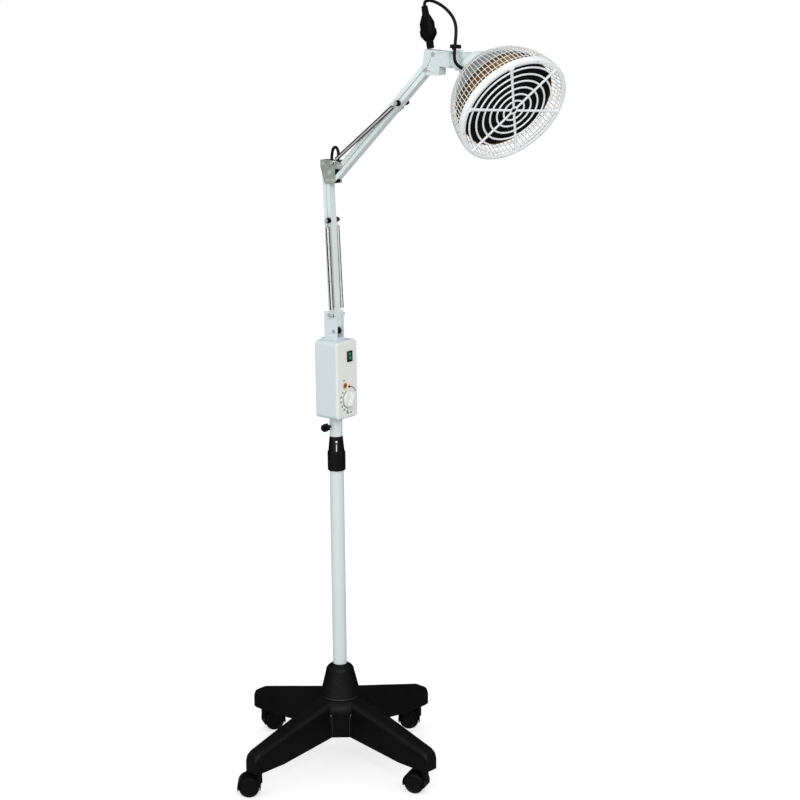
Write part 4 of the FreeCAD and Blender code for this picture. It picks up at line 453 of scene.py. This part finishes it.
def arc(start, end, radius, count):
    """Points along an arc that bulges to the right of its direction of travel."""
    start, end = Vector(start), Vector(end)
    half = (end - start) / 2
    left = Vector((-half.y, half.x)).normalized()
    centre = start + half + left * math.sqrt(radius ** 2 - half.length_squared)
    first = math.atan2(start.y - centre.y, start.x - centre.x)
    last = math.atan2(end.y - centre.y, end.x - centre.x)
    if last < first:
        last += 2 * math.pi
    angles = [first + (last - first) * k / count for k in range(count + 1)]
    return [centre + Vector((math.cos(a), math.sin(a))) * radius for a in angles]


def ring_path(radius, height, count):
    """Points round a circle about Z."""
    angles = [2 * math.pi * k / count for k in range(count)]
    return [(radius * math.cos(a), radius * math.sin(a), height) for a in angles]


# ---------------------------------------------------------------- leads

LEAD_RADIUS = 0.0029
LEAD_SIDES = 18
HEAD_LEAD = (
    (0.0, -229.96, 1504.5),
    (0.0, -228.08, 1514.8),
    (-1.0, -233.2, 1520.0),
    (-3.0, -246.0, 1520.4),
    (-6.0, -262.0, 1516.2),
    (-9.5, -279.0, 1509.5),
    (-14.0, -296.0, 1499.5),
    (-19.0, -310.5, 1487.0),
    (-22.5, -317.5, 1473.0),
    (-24.5, -318.2, 1456.5),
    (-25.0, -316.5, 1440.0),
    (-26.2, -315.8, 1428.0),
    (-30.5, -319.6, 1418.5),
    (-38.5, -328.0, 1412.0),
    (-47.0, -340.0, 1407.2),
    (-50.8, -351.0, 1403.4),
    (-51.6, -358.2, 1400.8),
)
TIE_AT = 10
ELBOW_LEAD = (
    (0.0, -0.6, 1212.5),
    (0.0, -0.6, 1225.0),
    (0.0, -1.8, 1238.5),
    (0.0, -6.2, 1248.5),
    (0.0, -14.0, 1249.0),
    (0.0, -18.6, 1238.5),
    (0.0, -16.2, 1225.0),
    (0.0, -16.2, 1212.5),
)


def lead_line(points):
    """The smooth line of a lead: a NURBS spline with the route's points as its control points."""
    data = bpy.data.curves.new("lead_line", "CURVE")
    data.dimensions = "3D"
    data.resolution_u = 10
    spline = data.splines.new("NURBS")
    spline.points.add(len(points) - 1)
    for point, place in zip(spline.points, points):
        point.co = (*metres(place), 1.0)
    spline.order_u = 3
    spline.use_endpoint_u = True
    thing = bpy.data.objects.new("lead_line", data)
    scene.collection.objects.link(thing)
    bpy.context.view_layer.update()
    line = [vertex.co.copy() for vertex in bpy.data.meshes.new_from_object(thing).vertices]
    bpy.data.objects.remove(thing)
    return line


def make_lead(name, points, ride, node=None):
    """A round lead that rides on one body, or, when given two, stays fixed in place on none."""
    line = lead_line(points)
    tube = Shape()
    tube.tube([point / MM for point in line], LEAD_RADIUS / MM, LEAD_SIDES)
    thing = tube.make(name, ride[0] if len(ride) == 1 else None, RUBBER, angle=60.0)
    if len(ride) == 2:
        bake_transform(thing)
    if node:
        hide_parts(node)


make_lead("head_lead_upper", HEAD_LEAD[:TIE_AT + 1], ("bracket", "yoke"), "head_lead")
make_lead("head_lead_lower", HEAD_LEAD[TIE_AT:], ("yoke", "head"))
make_lead("elbow_lead_loop", ELBOW_LEAD, ("elbow",), "elbow_lead")


def make_tie():
    """The tie round the lead: a band, its lock, the stub of its tail and two folds behind."""
    along_lead = turn(5.8, "Y") @ turn(1.1, "X")
    seat = spot(*HEAD_LEAD[TIE_AT]) @ turn(-40, "Z") @ along_lead
    tie = Shape()
    tie.turned([(3.0, -3.4), (4.3, -3.4), (4.7, -2.8), (4.7, 2.8), (4.3, 3.4), (3.0, 3.4)], 32, seat)
    for low, high, edge in (((4.2, -2.6, -3.6), (10.4, 2.6, 3.6), 0.7),
                            ((10.2, -1.4, -2.4), (11.4, 1.4, 2.4), 0.3),
                            ((-8.6, -2.4, -3.8), (-4.2, 2.4, 3.0), 0.6),
                            ((-5.2, -1.9, -6.4), (0.6, -3.9, -3.2), 0.3)):
        tie.block(low, high, seat, edge)
    thing = tie.make("lead_tie", "yoke", BLACK)
    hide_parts("cable_clip")


make_tie()


# ---------------------------------------------------------------- springs

COIL_RADIUS = 3.2
SPRING_WIRE = 0.65
COIL_PITCH = 2.06 * SPRING_WIRE
COIL_STEPS = 14
RUN_IN_STEPS = 10
HOOK_RADIUS = 3.3
HOOK_SWEEP = 150
HOOK_STEPS = 14
NECK = 10.0
COIL_FROM = NECK + 1.5

# Where the coils' normals lean outwards, as distances from each end and from the axis in metres, and the
# shares of the coil's own normal and of the outward one.
LEAN_FROM = 0.012
LEAN_CORE = 0.0018
OWN_SHARE = 0.15
OUTWARD_SHARE = 0.85

# Painted highlight and painted shade: the coils are bright chrome where they face the camera's direction
# and where they face away from it, within the angle with this cosine, and near-black chrome on their flanks.
# Faces nearer the axis than the core stay bright (metres).
PAINTED_HIGHLIGHT_SIDE = Vector((-0.737, -0.647, 0.196))
PAINTED_HIGHLIGHT_COSINE = 0.9
PAINTED_SHADE_CORE = 0.0015

# The (y, z) of each pin and the springs' place either side of the arm.
FORK_ANCHOR = (-8.0, 924.15)
LOWER_PIN = (0.69, 1108.7)
ELBOW_ANCHOR = (-15.0, 1220.6)
UPPER_PIN = (-173.9, 1336.5)
SPRING_X = 14.8


def coil_normals(mesh, low, high):
    """Normals that lean outwards from the spring's axis, so that the coils shine as one smooth body."""
    low, high = low * MM, high * MM
    along = (high - low).normalized()
    normals = []
    for vertex in mesh.vertices:
        away = vertex.co - low
        share = away.dot(along)
        away -= along * share
        if LEAN_FROM < share < (high - low).length - LEAN_FROM and away.length > LEAN_CORE:
            leaning = vertex.normal * OWN_SHARE + away.normalized() * OUTWARD_SHARE
            normals.append(tuple(leaning.normalized()))
        else:
            normals.append(tuple(vertex.normal))
    return normals


def shade_flanks(mesh, low, along):
    """Gives the mesh's second material, near-black chrome, to the faces on the spring's flanks: painted
    shade beside a painted highlight.
    """
    bright = (PAINTED_HIGHLIGHT_SIDE - along * PAINTED_HIGHLIGHT_SIDE.dot(along)).normalized()
    for face in mesh.polygons:
        away = face.center - low * MM
        away -= along * away.dot(along)
        if away.length > PAINTED_SHADE_CORE:
            face.material_index = 0 if abs(away.normalized().dot(bright)) > PAINTED_HIGHLIGHT_COSINE else 1


def make_spring(name, low, high):
    """A close-wound tension spring between two studs that lie along X, with a hook at each end."""
    low, high = Vector(low), Vector(high)
    along = (high - low).normalized()
    across = Vector((1, 0, 0))
    third = along.cross(across)

    def hook(stud, first):
        angles = [math.radians(first + HOOK_SWEEP * k / HOOK_STEPS) for k in range(HOOK_STEPS + 1)]
        return [stud + (along * math.cos(a) + third * math.sin(a)) * HOOK_RADIUS for a in angles]

    path = hook(low, -HOOK_SWEEP)
    path.append(low + along * (HOOK_RADIUS + NECK) / 2)
    body = (high - low).length - 2 * COIL_FROM
    total = int(body / COIL_PITCH) * COIL_STEPS
    for k in range(total + 1):
        angle = 2 * math.pi * k / COIL_STEPS
        radius = COIL_RADIUS * min(1.0, k / RUN_IN_STEPS, (total - k) / RUN_IN_STEPS)
        path.append(low + along * (COIL_FROM + body * (k / total))
                    + (across * math.cos(angle) + third * math.sin(angle)) * radius)
    path.append(high - along * (HOOK_RADIUS + NECK) / 2)
    path += hook(high, 180)
    shape = Shape()
    shape.tube(path, SPRING_WIRE, 7)
    thing = shape.make(name, None, CHROME, angle=180.0)
    thing.data.normals_split_custom_set_from_vertices(coil_normals(thing.data, low, high))
    # The second material is painted shade on the coils' flanks, and the first a painted highlight facing the
    # camera's direction.
    thing.data.materials.append(PAINTED_SHADE_CHROME)
    shade_flanks(thing.data, low, along)
    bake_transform(thing)
    return thing


for count, side in enumerate((-1, 1), start=1):
    x = side * SPRING_X
    lower = make_spring("lower_spring_%d" % count, (x, *FORK_ANCHOR), (x, *LOWER_PIN))
    upper = make_spring("upper_spring_%d" % count, (x, *ELBOW_ANCHOR), (x, *UPPER_PIN))
    if count == 1:
        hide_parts("lower_springs")
        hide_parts("upper_springs")


# ---------------------------------------------------------------- bushes, nuts and caps on the arm's pins

# The bushes of the arm's own pivots: piece, body, (y, z) of the pin and outer radius.
BUSHES = (
    ("fork_bush", "lower_front", (-8.0, 892.35), 6.0),
    ("elbow_bush_rear", "lower_front", (3.76, 1185.11), 5.6),
    ("elbow_bush_front", "upper_bottom", (-11.04, 1185.71), 5.6),
    ("wrist_bush", "upper_bottom", (-239.5, 1397.3), 5.2),
)


def washer(shape, x0, x1, y, z, outer, inner, edge=0.5):
    """A ring along X."""
    seat = spot(0, y, z) @ turn(90, "Y")
    low, high = min(x0, x1), max(x0, x1)
    shape.turned([(inner, low), (outer - edge, low), (outer, low + edge), (outer, high - edge),
                  (outer - edge, high), (inner, high)], 32, seat)


def dome(shape, x0, x1, y, z, radius):
    """A domed cap along X, from a flat face at x0 to its crown at x1."""
    seat = spot(0, y, z) @ turn(90 if x1 > x0 else -90, "Y")
    low, high = abs(x0), abs(x1)
    shape.turned([(0.01, low), (radius, low), (radius, low + (high - low) * 0.35),
                  (radius * 0.78, low + (high - low) * 0.75), (radius * 0.4, high * 0.97 + low * 0.03),
                  (0.01, high)], 24, seat)


def make_spring_caps(name, body, y, z):
    """The black bushes and washers either side of a pair of springs, and the bright caps outside them."""
    black = Shape()
    caps = Shape()
    for side in (-1, 1):
        washer(black, side * 8.15, side * 12.9, y, z, 5.4, 2.1)
        washer(black, side * 15.9, side * 17.0, y, z, 4.3, 2.1, 0.3)
        dome(caps, side * 17.0, side * 19.4, y, z, 3.4)
    black.make(name + "_spring_bushes", body, BLACK)
    caps.make(name + "_spring_caps", body, STEEL)


def make_bush(name, body, y, z, radius):
    """A black bush between the two cheeks of a pivot."""
    bush = Shape()
    washer(bush, -6.3, 6.3, y, z, radius, 2.6)
    bush.make(name, body, BLACK)


def make_anchor_nuts(name, body, y, z):
    """The nuts either side of a pair of springs at their fixed end."""
    nuts = Shape()
    for side in (-1, 1):
        washer(nuts, side * 10.65, side * 12.4, y, z, 3.6, 2.05, 0.3)
        washer(nuts, side * 17.1, side * 18.2, y, z, 3.5, 2.05, 0.3)
    nuts.make(name + "_nuts", body, STEEL, angle=30.0)


make_spring_caps("lower", "lower_front", *LOWER_PIN)
make_spring_caps("upper", "upper_bottom", *UPPER_PIN)
for name, body, pin, radius in BUSHES:
    make_bush(name, body, *pin, radius)
make_anchor_nuts("fork_anchor", "fork", *FORK_ANCHOR)
make_anchor_nuts("elbow_anchor", "elbow", *ELBOW_ANCHOR)


# ---------------------------------------------------------------- wire guard and grille

GUARD_WIRES = 84
WIRE_RADIUS = 0.75
WIRE_WEAVE = 0.28
HOOP_RADIUS = 0.5
HOOP_WEAVE = 0.3
HOOPS_FROM_NECK = (34.0, 74.0)
HOOPS_FROM_RIM = (31.0, 18.0, 5.5)
NECK_RING = 31.9
NECK_RING_WIRE = 0.8
NECK_RING_HEIGHTS = (41.0, 46.0)


def guard_profile():
    """The guard's outline as (radius, height) points of its wires' middle, from the neck to the rim."""
    profile = [Vector((31.4, 41.0)), Vector((31.5, 44.0))]
    profile += arc((31.85, 47.0), (69.5, 73.0), 95.0, 10)[:-1]
    profile += arc((69.5, 73.0), (95.0, 110.0), 112.0, 10)[:-1]
    profile += arc((95.0, 110.0), (105.0, 153.0), 136.0, 12)
    return [Vector((point.x - WIRE_RADIUS, point.y)) for point in profile]


def make_guard():
    """The woven bowl: wires from neck to rim, hoops that weave through them, and two rings at the neck."""
    profile = guard_profile()
    run = [0.0]
    for before, after in zip(profile, profile[1:]):
        run.append(run[-1] + (after - before).length)
    guard = Shape()
    for k in range(GUARD_WIRES):
        angle = 2 * math.pi * k / GUARD_WIRES
        x, y = math.cos(angle), math.sin(angle)
        weave = WIRE_WEAVE if k % 2 else -WIRE_WEAVE
        path = []
        for index, point in enumerate(profile):
            radius = point.x + weave * math.cos(math.pi * index)
            path.append((radius * x, radius * y, point.y))
        guard.tube(path, WIRE_RADIUS, 5, matrix=HEAD)
    count = GUARD_WIRES * 2
    for k, at in enumerate((*HOOPS_FROM_NECK, *[run[-1] - back for back in HOOPS_FROM_RIM])):
        index = max(i for i in range(len(run) - 1) if run[i] <= at)
        share = (at - run[index]) / (run[index + 1] - run[index])
        point = profile[index].lerp(profile[index + 1], share)
        weave = HOOP_WEAVE if k % 2 else -HOOP_WEAVE
        path = []
        for step in range(count):
            angle = 2 * math.pi * step / count
            radius = point.x + weave * (1, 0, -1, 0)[step % 4]
            path.append((radius * math.cos(angle), radius * math.sin(angle), point.y))
        guard.tube(path, HOOP_RADIUS, 5, closed=True, matrix=HEAD)
    for height in NECK_RING_HEIGHTS:
        guard.tube(ring_path(NECK_RING, height, 64), NECK_RING_WIRE, 6, closed=True, matrix=HEAD)
    thing = guard.make("guard_mesh", "head", WIRE, angle=180.0)
    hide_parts("rear_guard")


make_guard()

GRILLE_FRONT = 163.0
BAR_CENTRE = GRILLE_FRONT - 1.3
BAR_HALF = (1.75, 1.25)
BAR_SIDES = 10
GRILLE_RINGS = [6.5] + [20.3 + 13.6 * k for k in range(6)]
SPOKES = 6
SPOKE_TURN = -4
SPOKE_REACH = (5.5, 10.0, 60.0, 88.0, 95.0, 99.0)
SPOKE_RADII = (2.2, 2.2, 2.4, 2.9, 4.2, 5.6)
SPOKE_FLATNESS = 0.78
GRILLE_RIM = ((96.0, 160.7), (96.0, 162.3), (96.6, 162.9), (100.5, 163.0), (103.4, 162.7), (104.6, 161.6),
              (105.0, 160.2), (105.0, 153.4), (103.8, 153.3), (103.7, 160.4), (102.6, 161.1), (99.0, 161.2))
RIVETS = 3
RIVET_TURN = -34
RIVET_REACH = 100.2


def make_grille():
    """The front grille: oval-section rings, six spokes that widen into the rim, and the rim itself."""
    grille = Shape()
    corners = [2 * math.pi * k / BAR_SIDES for k in range(BAR_SIDES)][::-1]
    for radius in GRILLE_RINGS:
        grille.turned([(radius + BAR_HALF[0] * math.cos(a), BAR_CENTRE + BAR_HALF[1] * math.sin(a))
                       for a in corners], 120, HEAD)
    spoke = Shape()
    spoke.tube([(0, 0, along) for along in SPOKE_REACH], SPOKE_RADII, BAR_SIDES)
    flat = Matrix.Diagonal((SPOKE_FLATNESS, 1.0, 1.0, 1.0))
    for k in range(SPOKES):
        seat = HEAD @ turn(SPOKE_TURN + 360 / SPOKES * k, "Z") @ spot(0, 0, BAR_CENTRE) @ turn(90, "Y")
        grille.add(spoke.points, spoke.faces, seat @ flat)
    grille.turned(GRILLE_RIM, 144, HEAD)
    thing = grille.make("grille_casting", "head", GRILLE, angle=50.0)
    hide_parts("front_grille")


def make_grille_rivets():
    """The bright heads of the rivets in the grille's rim."""
    rivets = Shape()
    for k in range(RIVETS):
        seat = HEAD @ turn(RIVET_TURN + 360 / RIVETS * k, "Z") @ spot(RIVET_REACH, 0, 0)
        rivets.disc(1.7, GRILLE_FRONT - 0.4, GRILLE_FRONT, 20, seat, 0.15)
    rivets.make("grille_rivets", "head", STEEL)


make_grille()
make_grille_rivets()


# ---------------------------------------------------------------- control box details

PANEL_Y = -31.8
INK_DEPTH = 0.06

# The dial's centre as (x, z), the angle of its first mark, and the sweep from 0 to 60.
DIAL_CENTRE = (4.0, 759.0)
DIAL_START = 118
DIAL_SWEEP = 138
DIAL_NUMBERS = range(0, 61, 10)
NUMBER_REACH = 24.6
TICK_INNER = 18.2
TICK_HALF = 0.55

# The height of the dial's numbers, how much bolder they are than the font, and their thickness, in metres.
NUMBER_HEIGHT = 0.0046
NUMBER_WEIGHT = 0.0002
NUMBER_DEPTH = 0.00004

# The indicator lens and the middle of the turn arrow's arc, as (x, z).
LENS_CENTRE = (-8.1, 787.5)
ARROW_CENTRE = (4.5, 762.4)


def on_panel(x, z):
    """A seat on the panel's face: X to the right, Y up and Z out of the box."""
    return spot(x, PANEL_Y, z) @ turn(90, "X")


def make_panel_marks():
    """The print on the panel: the dial's scale, a turn arrow, and bars where the photograph has words."""
    marks = Shape()
    dial = on_panel(*DIAL_CENTRE)
    for k in range(13):
        length = 3.0 if k % 2 == 0 else 1.8
        marks.block((TICK_INNER, -TICK_HALF, 0.0), (TICK_INNER + length, TICK_HALF, INK_DEPTH),
                    dial @ turn(DIAL_START + k * DIAL_SWEEP / 12, "Z"))
    for k in range(24):
        marks.block((TICK_INNER - 0.6, -1.0, 0.0), (TICK_INNER, 1.0, INK_DEPTH),
                    dial @ turn(DIAL_START + k * DIAL_SWEEP / 23, "Z"))
    marks.block((-4.4, 9.2, 0.0), (1.6, 10.7, INK_DEPTH), on_panel(*LENS_CENTRE))
    for k in range(12):
        marks.block((20.4, -1.15, 0.0), (22.2, 1.15, INK_DEPTH),
                    on_panel(*ARROW_CENTRE) @ turn(88 - 5.4 * k, "Z"))
    tip = ((-3.4, 0.0), (2.6, 4.2), (2.6, -4.2))
    marks.add([(x, y, 0.0) for x, y in tip] + [(x, y, INK_DEPTH) for x, y in tip],
              [[0, 1, 2], [3, 5, 4], [0, 3, 4, 1], [1, 4, 5, 2], [2, 5, 3, 0]],
              on_panel(4.0, 783.6) @ turn(-2, "Z"))
    for x, width in ((-7.0, 1.3), (-4.6, 4.2), (2.6, 1.3), (5.0, 3.4)):
        marks.block((x, -1.3, 0.0), (x + width, 1.3, INK_DEPTH), on_panel(3.0, 731.6))
    marks.make("panel_marks", "box", INK, smooth=False)


def make_dial_number(value, angle):
    """One number of the dial, upright on the panel."""
    name = "dial_number_%d" % value
    data = bpy.data.curves.new(name, "FONT")
    data.body = str(value)
    data.size = NUMBER_HEIGHT
    data.offset = NUMBER_WEIGHT
    data.extrude = NUMBER_DEPTH
    data.align_x = "CENTER"
    data.align_y = "CENTER"
    data.materials.append(INK)
    thing = bpy.data.objects.new(name, data)
    x = DIAL_CENTRE[0] + NUMBER_REACH * math.cos(angle)
    z = DIAL_CENTRE[1] + NUMBER_REACH * math.sin(angle)
    thing.matrix_world = Matrix.Translation(metres((x, PANEL_Y - NUMBER_DEPTH / MM, z))) @ turn(90, "X")
    scene.collection.objects.link(thing)
    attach(thing, "box")


def make_lens_ring():
    """The orange ring round the indicator lens."""
    ring = Shape()
    ring.turned([(4.65, 0.0), (6.7, 0.0), (6.7, 0.5), (6.0, 0.95), (4.65, 0.95)], 40, on_panel(*LENS_CENTRE))
    ring.make("lens_ring", "box", RING)


def make_bottom_slots():
    """A row of dark blocks under the front of the box, painted shade where its slots are."""
    slots = Shape()
    for k in range(6):
        x = -20.0 + k * 7.6
        slots.block((x, PANEL_Y + 3.2, 720.9), (x + 4.6, PANEL_Y + 4.6, 721.6))
    slots.make("bottom_slot_painted_shade", "box", BLACK, smooth=False)


def make_rocker_marks():
    """A ring and a bar on the two slopes of the rocker."""
    slope = 10
    reach = 4.1
    valley = 3.4
    clear = 0.02
    height = valley + reach * math.tan(math.radians(slope)) + clear
    rocker = spot(7.1, -29.6, 843.6) @ turn(80, "X")
    marks = Shape()
    marks.turned([(1.15, 0.0), (1.6, 0.0), (1.6, 0.09), (1.15, 0.09)], 28,
                 rocker @ spot(0, reach, height) @ turn(slope, "X"))
    marks.block((-0.28, -1.7, 0.0), (0.28, 1.7, 0.09), rocker @ spot(0, -reach, height) @ turn(-slope, "X"))
    marks.make("rocker_marks", "rocker", PRINT, smooth=False)


def make_inlet_blades():
    """Bright skins over the three blades inside the mains inlet."""
    skin = 0.06
    width, height = 2, 4
    back = spot(0, 25.5, 845.0) @ turn(-90, "X")
    blades = Shape()
    for x, y in ((-7, 1), (7, 1), (0, -2)):
        blades.block((x - width / 2 - skin, y - height / 2 - skin, -14.0),
                     (x + width / 2 + skin, y + height / 2 + skin, -2.9), back, 0.3)
    blades.make("inlet_blades", "box", STEEL, smooth=False)


make_panel_marks()
for value in DIAL_NUMBERS:
    make_dial_number(value, math.radians(DIAL_START + DIAL_SWEEP * value / DIAL_NUMBERS[-1]))
make_lens_ring()
make_bottom_slots()
make_rocker_marks()
make_inlet_blades()


# ---------------------------------------------------------------- lock ring, base and connector details

# The side of the lock ring that bears its marks, the slope of its neck, and the places of the marks there.
COLLAR_FACING = -139.5
COLLAR_SLOPE = 84.5
DOT_PLACE = (14.05, 0, 671.5)
LINE_PLACE = (15.15, 0, 659.5)

# The ridges of one flat face of the hub, which faces +X before it is turned.
HUB_TURN = -4.1
RIDGE_RADIUS = 1.8
RIDGE_SIDE = ((55.0, 20.5, 120.4), (55.2, 18.6, 113.0), (55.3, 17.6, 96.0), (55.2, 17.2, 74.0))
RIDGE_TOP = ((55.0, -20.3, 120.2), (55.3, -16.0, 117.4), (55.4, 0.0, 116.4), (55.3, 16.0, 117.4),
             (55.0, 20.3, 120.2))
RIB_RADIUS = 0.55


def make_collar_marks():
    """A white dot and a white line on the lock ring's neck, with a dark line beside them as painted shade of
    a slot.
    """

    def on_neck(aside, place):
        return turn(COLLAR_FACING + aside, "Z") @ spot(*place) @ turn(COLLAR_SLOPE, "Y")

    white = Shape()
    white.disc(2.2, 0.0, 0.35, 28, on_neck(2.5, DOT_PLACE), 0.1)
    white.block((-7.0, -0.85, 0.0), (7.0, 0.85, 0.3), on_neck(1.5, LINE_PLACE), 0.2)
    white.make("collar_marks", "lock", PRINT)
    # Painted shade: a dark strip where the slot beside the white line is shaded.
    dark = Shape()
    dark.block((-7.4, -0.5, 0.0), (7.4, 0.5, 0.22), on_neck(8.0, LINE_PLACE), 0.2)
    dark.make("collar_slot_painted_shade", "lock", INK)


def make_sleeve_lip():
    """The pale lip at the lower end of the sleeve."""
    lip = Shape()
    lip.turned([(11.2, 681.3), (12.6, 681.3), (12.95, 681.8), (12.95, 683.4), (12.72, 683.4),
                (12.72, 682.98), (11.2, 682.98)], 64)
    lip.make("sleeve_lip", "box", PRINT)


def make_hub_ridges():
    """Raised ridges that frame the four flat faces of the hub, between its legs."""
    ridges = Shape()
    for k in range(4):
        seat = turn(HUB_TURN + 45 + 90 * k, "Z")
        for side in (-1, 1):
            ridges.tube([(x, side * y, z) for x, y, z in RIDGE_SIDE], RIDGE_RADIUS, 8, matrix=seat)
        ridges.tube(RIDGE_TOP, RIDGE_RADIUS, 8, matrix=seat)
    ridges.make("hub_ridges", "base", EDGE, angle=180.0)


def make_hub_rings():
    """The polished beads round the cone's foot and its top."""
    rings = Shape()
    rings.tube(ring_path(41.3, 143.6, 96), 0.9, 8, closed=True)
    rings.tube(ring_path(15.6, 208.6, 64), 0.7, 8, closed=True)
    rings.make("hub_rings", "base", EDGE, angle=180.0)


def make_connector_ribs():
    """Moulded ribs on the connector's two boots, and grips on its sides."""
    seat = spot(0, -242.5, 1435.53) @ turn(-10.3, "X")
    ribs = Shape()
    for z in (2.2, 4.9, 7.6, 10.3):
        ribs.tube(ring_path(6.5, z, 40), RIB_RADIUS, 8, closed=True, matrix=seat)
    for k, z in enumerate((62.5, 65.4, 68.3, 71.2, 74.0)):
        ribs.tube(ring_path(6.35 - 0.22 * k, z, 40), RIB_RADIUS, 8, closed=True, matrix=seat)
    ribs.make("connector_ribs", "bracket", MATT, angle=180.0)
    grips = Shape()
    for side in (-1, 1):
        for k in range(4):
            z = 37.0 + 2.6 * k
            grips.tube([(side * 9.3, -7.0, z), (side * 9.5, 0.0, z), (side * 9.3, 7.0, z)], RIB_RADIUS, 8,
                       matrix=seat)
    grips.make("connector_grips", "bracket", MATT, angle=180.0)


make_collar_marks()
make_sleeve_lip()
make_hub_ridges()
make_hub_rings()
make_connector_ribs()


# ---------------------------------------------------------------- floor, backdrop and light

FLOOR_HALF = 14.0
FLOOR_COLOUR = 0.62
FLOOR_GLOW = 0.55

# What glossy surfaces see: a floor and a world that are dark behind the lamp and bright on the key's side.
FLOOR_AHEAD = (-0.75, -0.66, 0.0)
FLOOR_FADE = (-0.8, 1.6)
FLOOR_LEVELS = (0.02, 0.6)
WORLD_AHEAD = (-0.55, -0.45, 0.7)
WORLD_FADE = (-0.2, 0.95)
WORLD_LEVELS = (0.02, 1.1)

# How strongly the world lights the object, and how strongly the camera sees it, where 1 is white.
WORLD_LIGHT = 0.78
WORLD_SEEN = 1.0

# Name, place, watts and size of each lamp, and the point that both are aimed at.
LAMPS = (
    ("key", (-2.0, -2.4, 2.5), 35.0, 1.0),
    ("fill", (-2.7, -0.3, 1.1), 11.0, 1.6),
)
LAMP_AIM = (0, -0.1, 0.8)


def seen_by_camera(tree, path):
    """A socket that is 1 for what the camera sees, also through glass, and 0 otherwise."""
    either = tree.nodes.new("ShaderNodeMath")
    either.operation = "MAXIMUM"
    tree.links.new(path.outputs["Is Camera Ray"], either.inputs[0])
    tree.links.new(path.outputs["Is Transmission Ray"], either.inputs[1])
    return either.outputs[0]


def mix_shaders(tree, share, first, second):
    """The first surface where the share is 0 and the second where it is 1."""
    mix = tree.nodes.new("ShaderNodeMixShader")
    tree.links.new(share, mix.inputs["Fac"])
    tree.links.new(first, mix.inputs[1])
    tree.links.new(second, mix.inputs[2])
    return mix.outputs["Shader"]


def floor_material():
    """A pale matt floor that takes the object's shadow, near white to the camera and graded in gloss."""
    material = bpy.data.materials.new("floor_pale")
    material.use_nodes = True
    tree = material.node_tree
    shader = tree.nodes["Principled BSDF"]
    shader.inputs["Base Color"].default_value = (FLOOR_COLOUR, FLOOR_COLOUR, FLOOR_COLOUR, 1)
    shader.inputs["Roughness"].default_value = 0.9
    shader.inputs["Specular IOR Level"].default_value = 0.0
    path = tree.nodes.new("ShaderNodeLightPath")
    glow = tree.nodes.new("ShaderNodeEmission")
    glow.inputs["Strength"].default_value = FLOOR_GLOW
    both = tree.nodes.new("ShaderNodeAddShader")
    tree.links.new(shader.outputs["BSDF"], both.inputs[0])
    tree.links.new(glow.outputs["Emission"], both.inputs[1])
    seen = mix_shaders(tree, seen_by_camera(tree, path), shader.outputs["BSDF"], both.outputs["Shader"])
    mirrored = tree.nodes.new("ShaderNodeEmission")
    fade = level_along(tree, "Object", FLOOR_AHEAD, FLOOR_FADE, FLOOR_LEVELS, "SMOOTHSTEP")
    tree.links.new(fade, mirrored.inputs["Strength"])
    surface = mix_shaders(tree, path.outputs["Is Glossy Ray"], seen, mirrored.outputs["Emission"])
    tree.links.new(surface, tree.nodes["Material Output"].inputs["Surface"])
    return material


def make_floor():
    """The plain floor that the lamp stands on."""
    corners = [(x * FLOOR_HALF, y * FLOOR_HALF, 0) for x, y in ((-1, -1), (1, -1), (1, 1), (-1, 1))]
    mesh = bpy.data.meshes.new("floor")
    mesh.from_pydata(corners, [], [[0, 1, 2, 3]])
    mesh.materials.append(floor_material())
    floor = bpy.data.objects.new("floor", mesh)
    scene.collection.objects.link(floor)


def make_world():
    """A plain white world: even light on the object, white to the camera and graded in gloss."""
    world = bpy.data.worlds.new("World")
    scene.world = world
    world.use_nodes = True
    tree = world.node_tree
    path = tree.nodes.new("ShaderNodeLightPath")
    plain = tree.nodes.new("ShaderNodeMapRange")
    plain.inputs["To Min"].default_value = WORLD_LIGHT
    plain.inputs["To Max"].default_value = WORLD_SEEN
    tree.links.new(seen_by_camera(tree, path), plain.inputs["Value"])
    strength = tree.nodes.new("ShaderNodeMix")
    tree.links.new(path.outputs["Is Glossy Ray"], strength.inputs["Factor"])
    tree.links.new(plain.outputs["Result"], strength.inputs["A"])
    tree.links.new(level_along(tree, "Generated", WORLD_AHEAD, WORLD_FADE, WORLD_LEVELS, "SMOOTHSTEP"),
                   strength.inputs["B"])
    background = tree.nodes["Background"]
    tree.links.new(strength.outputs["Result"], background.inputs["Strength"])
    background.inputs["Color"].default_value = (1, 1, 1, 1)


def make_lamp(name, place, power, size):
    """A soft square lamp."""
    data = bpy.data.lights.new(name, "AREA")
    data.energy = power
    data.size = size
    lamp = bpy.data.objects.new(name, data)
    lamp.location = place
    aim = Vector(LAMP_AIM) - Vector(place)
    lamp.rotation_euler = aim.to_track_quat("-Z", "Y").to_euler()
    scene.collection.objects.link(lamp)


make_floor()
make_world()
for lamp in LAMPS:
    make_lamp(*lamp)
scene.view_settings.view_transform = "Standard"
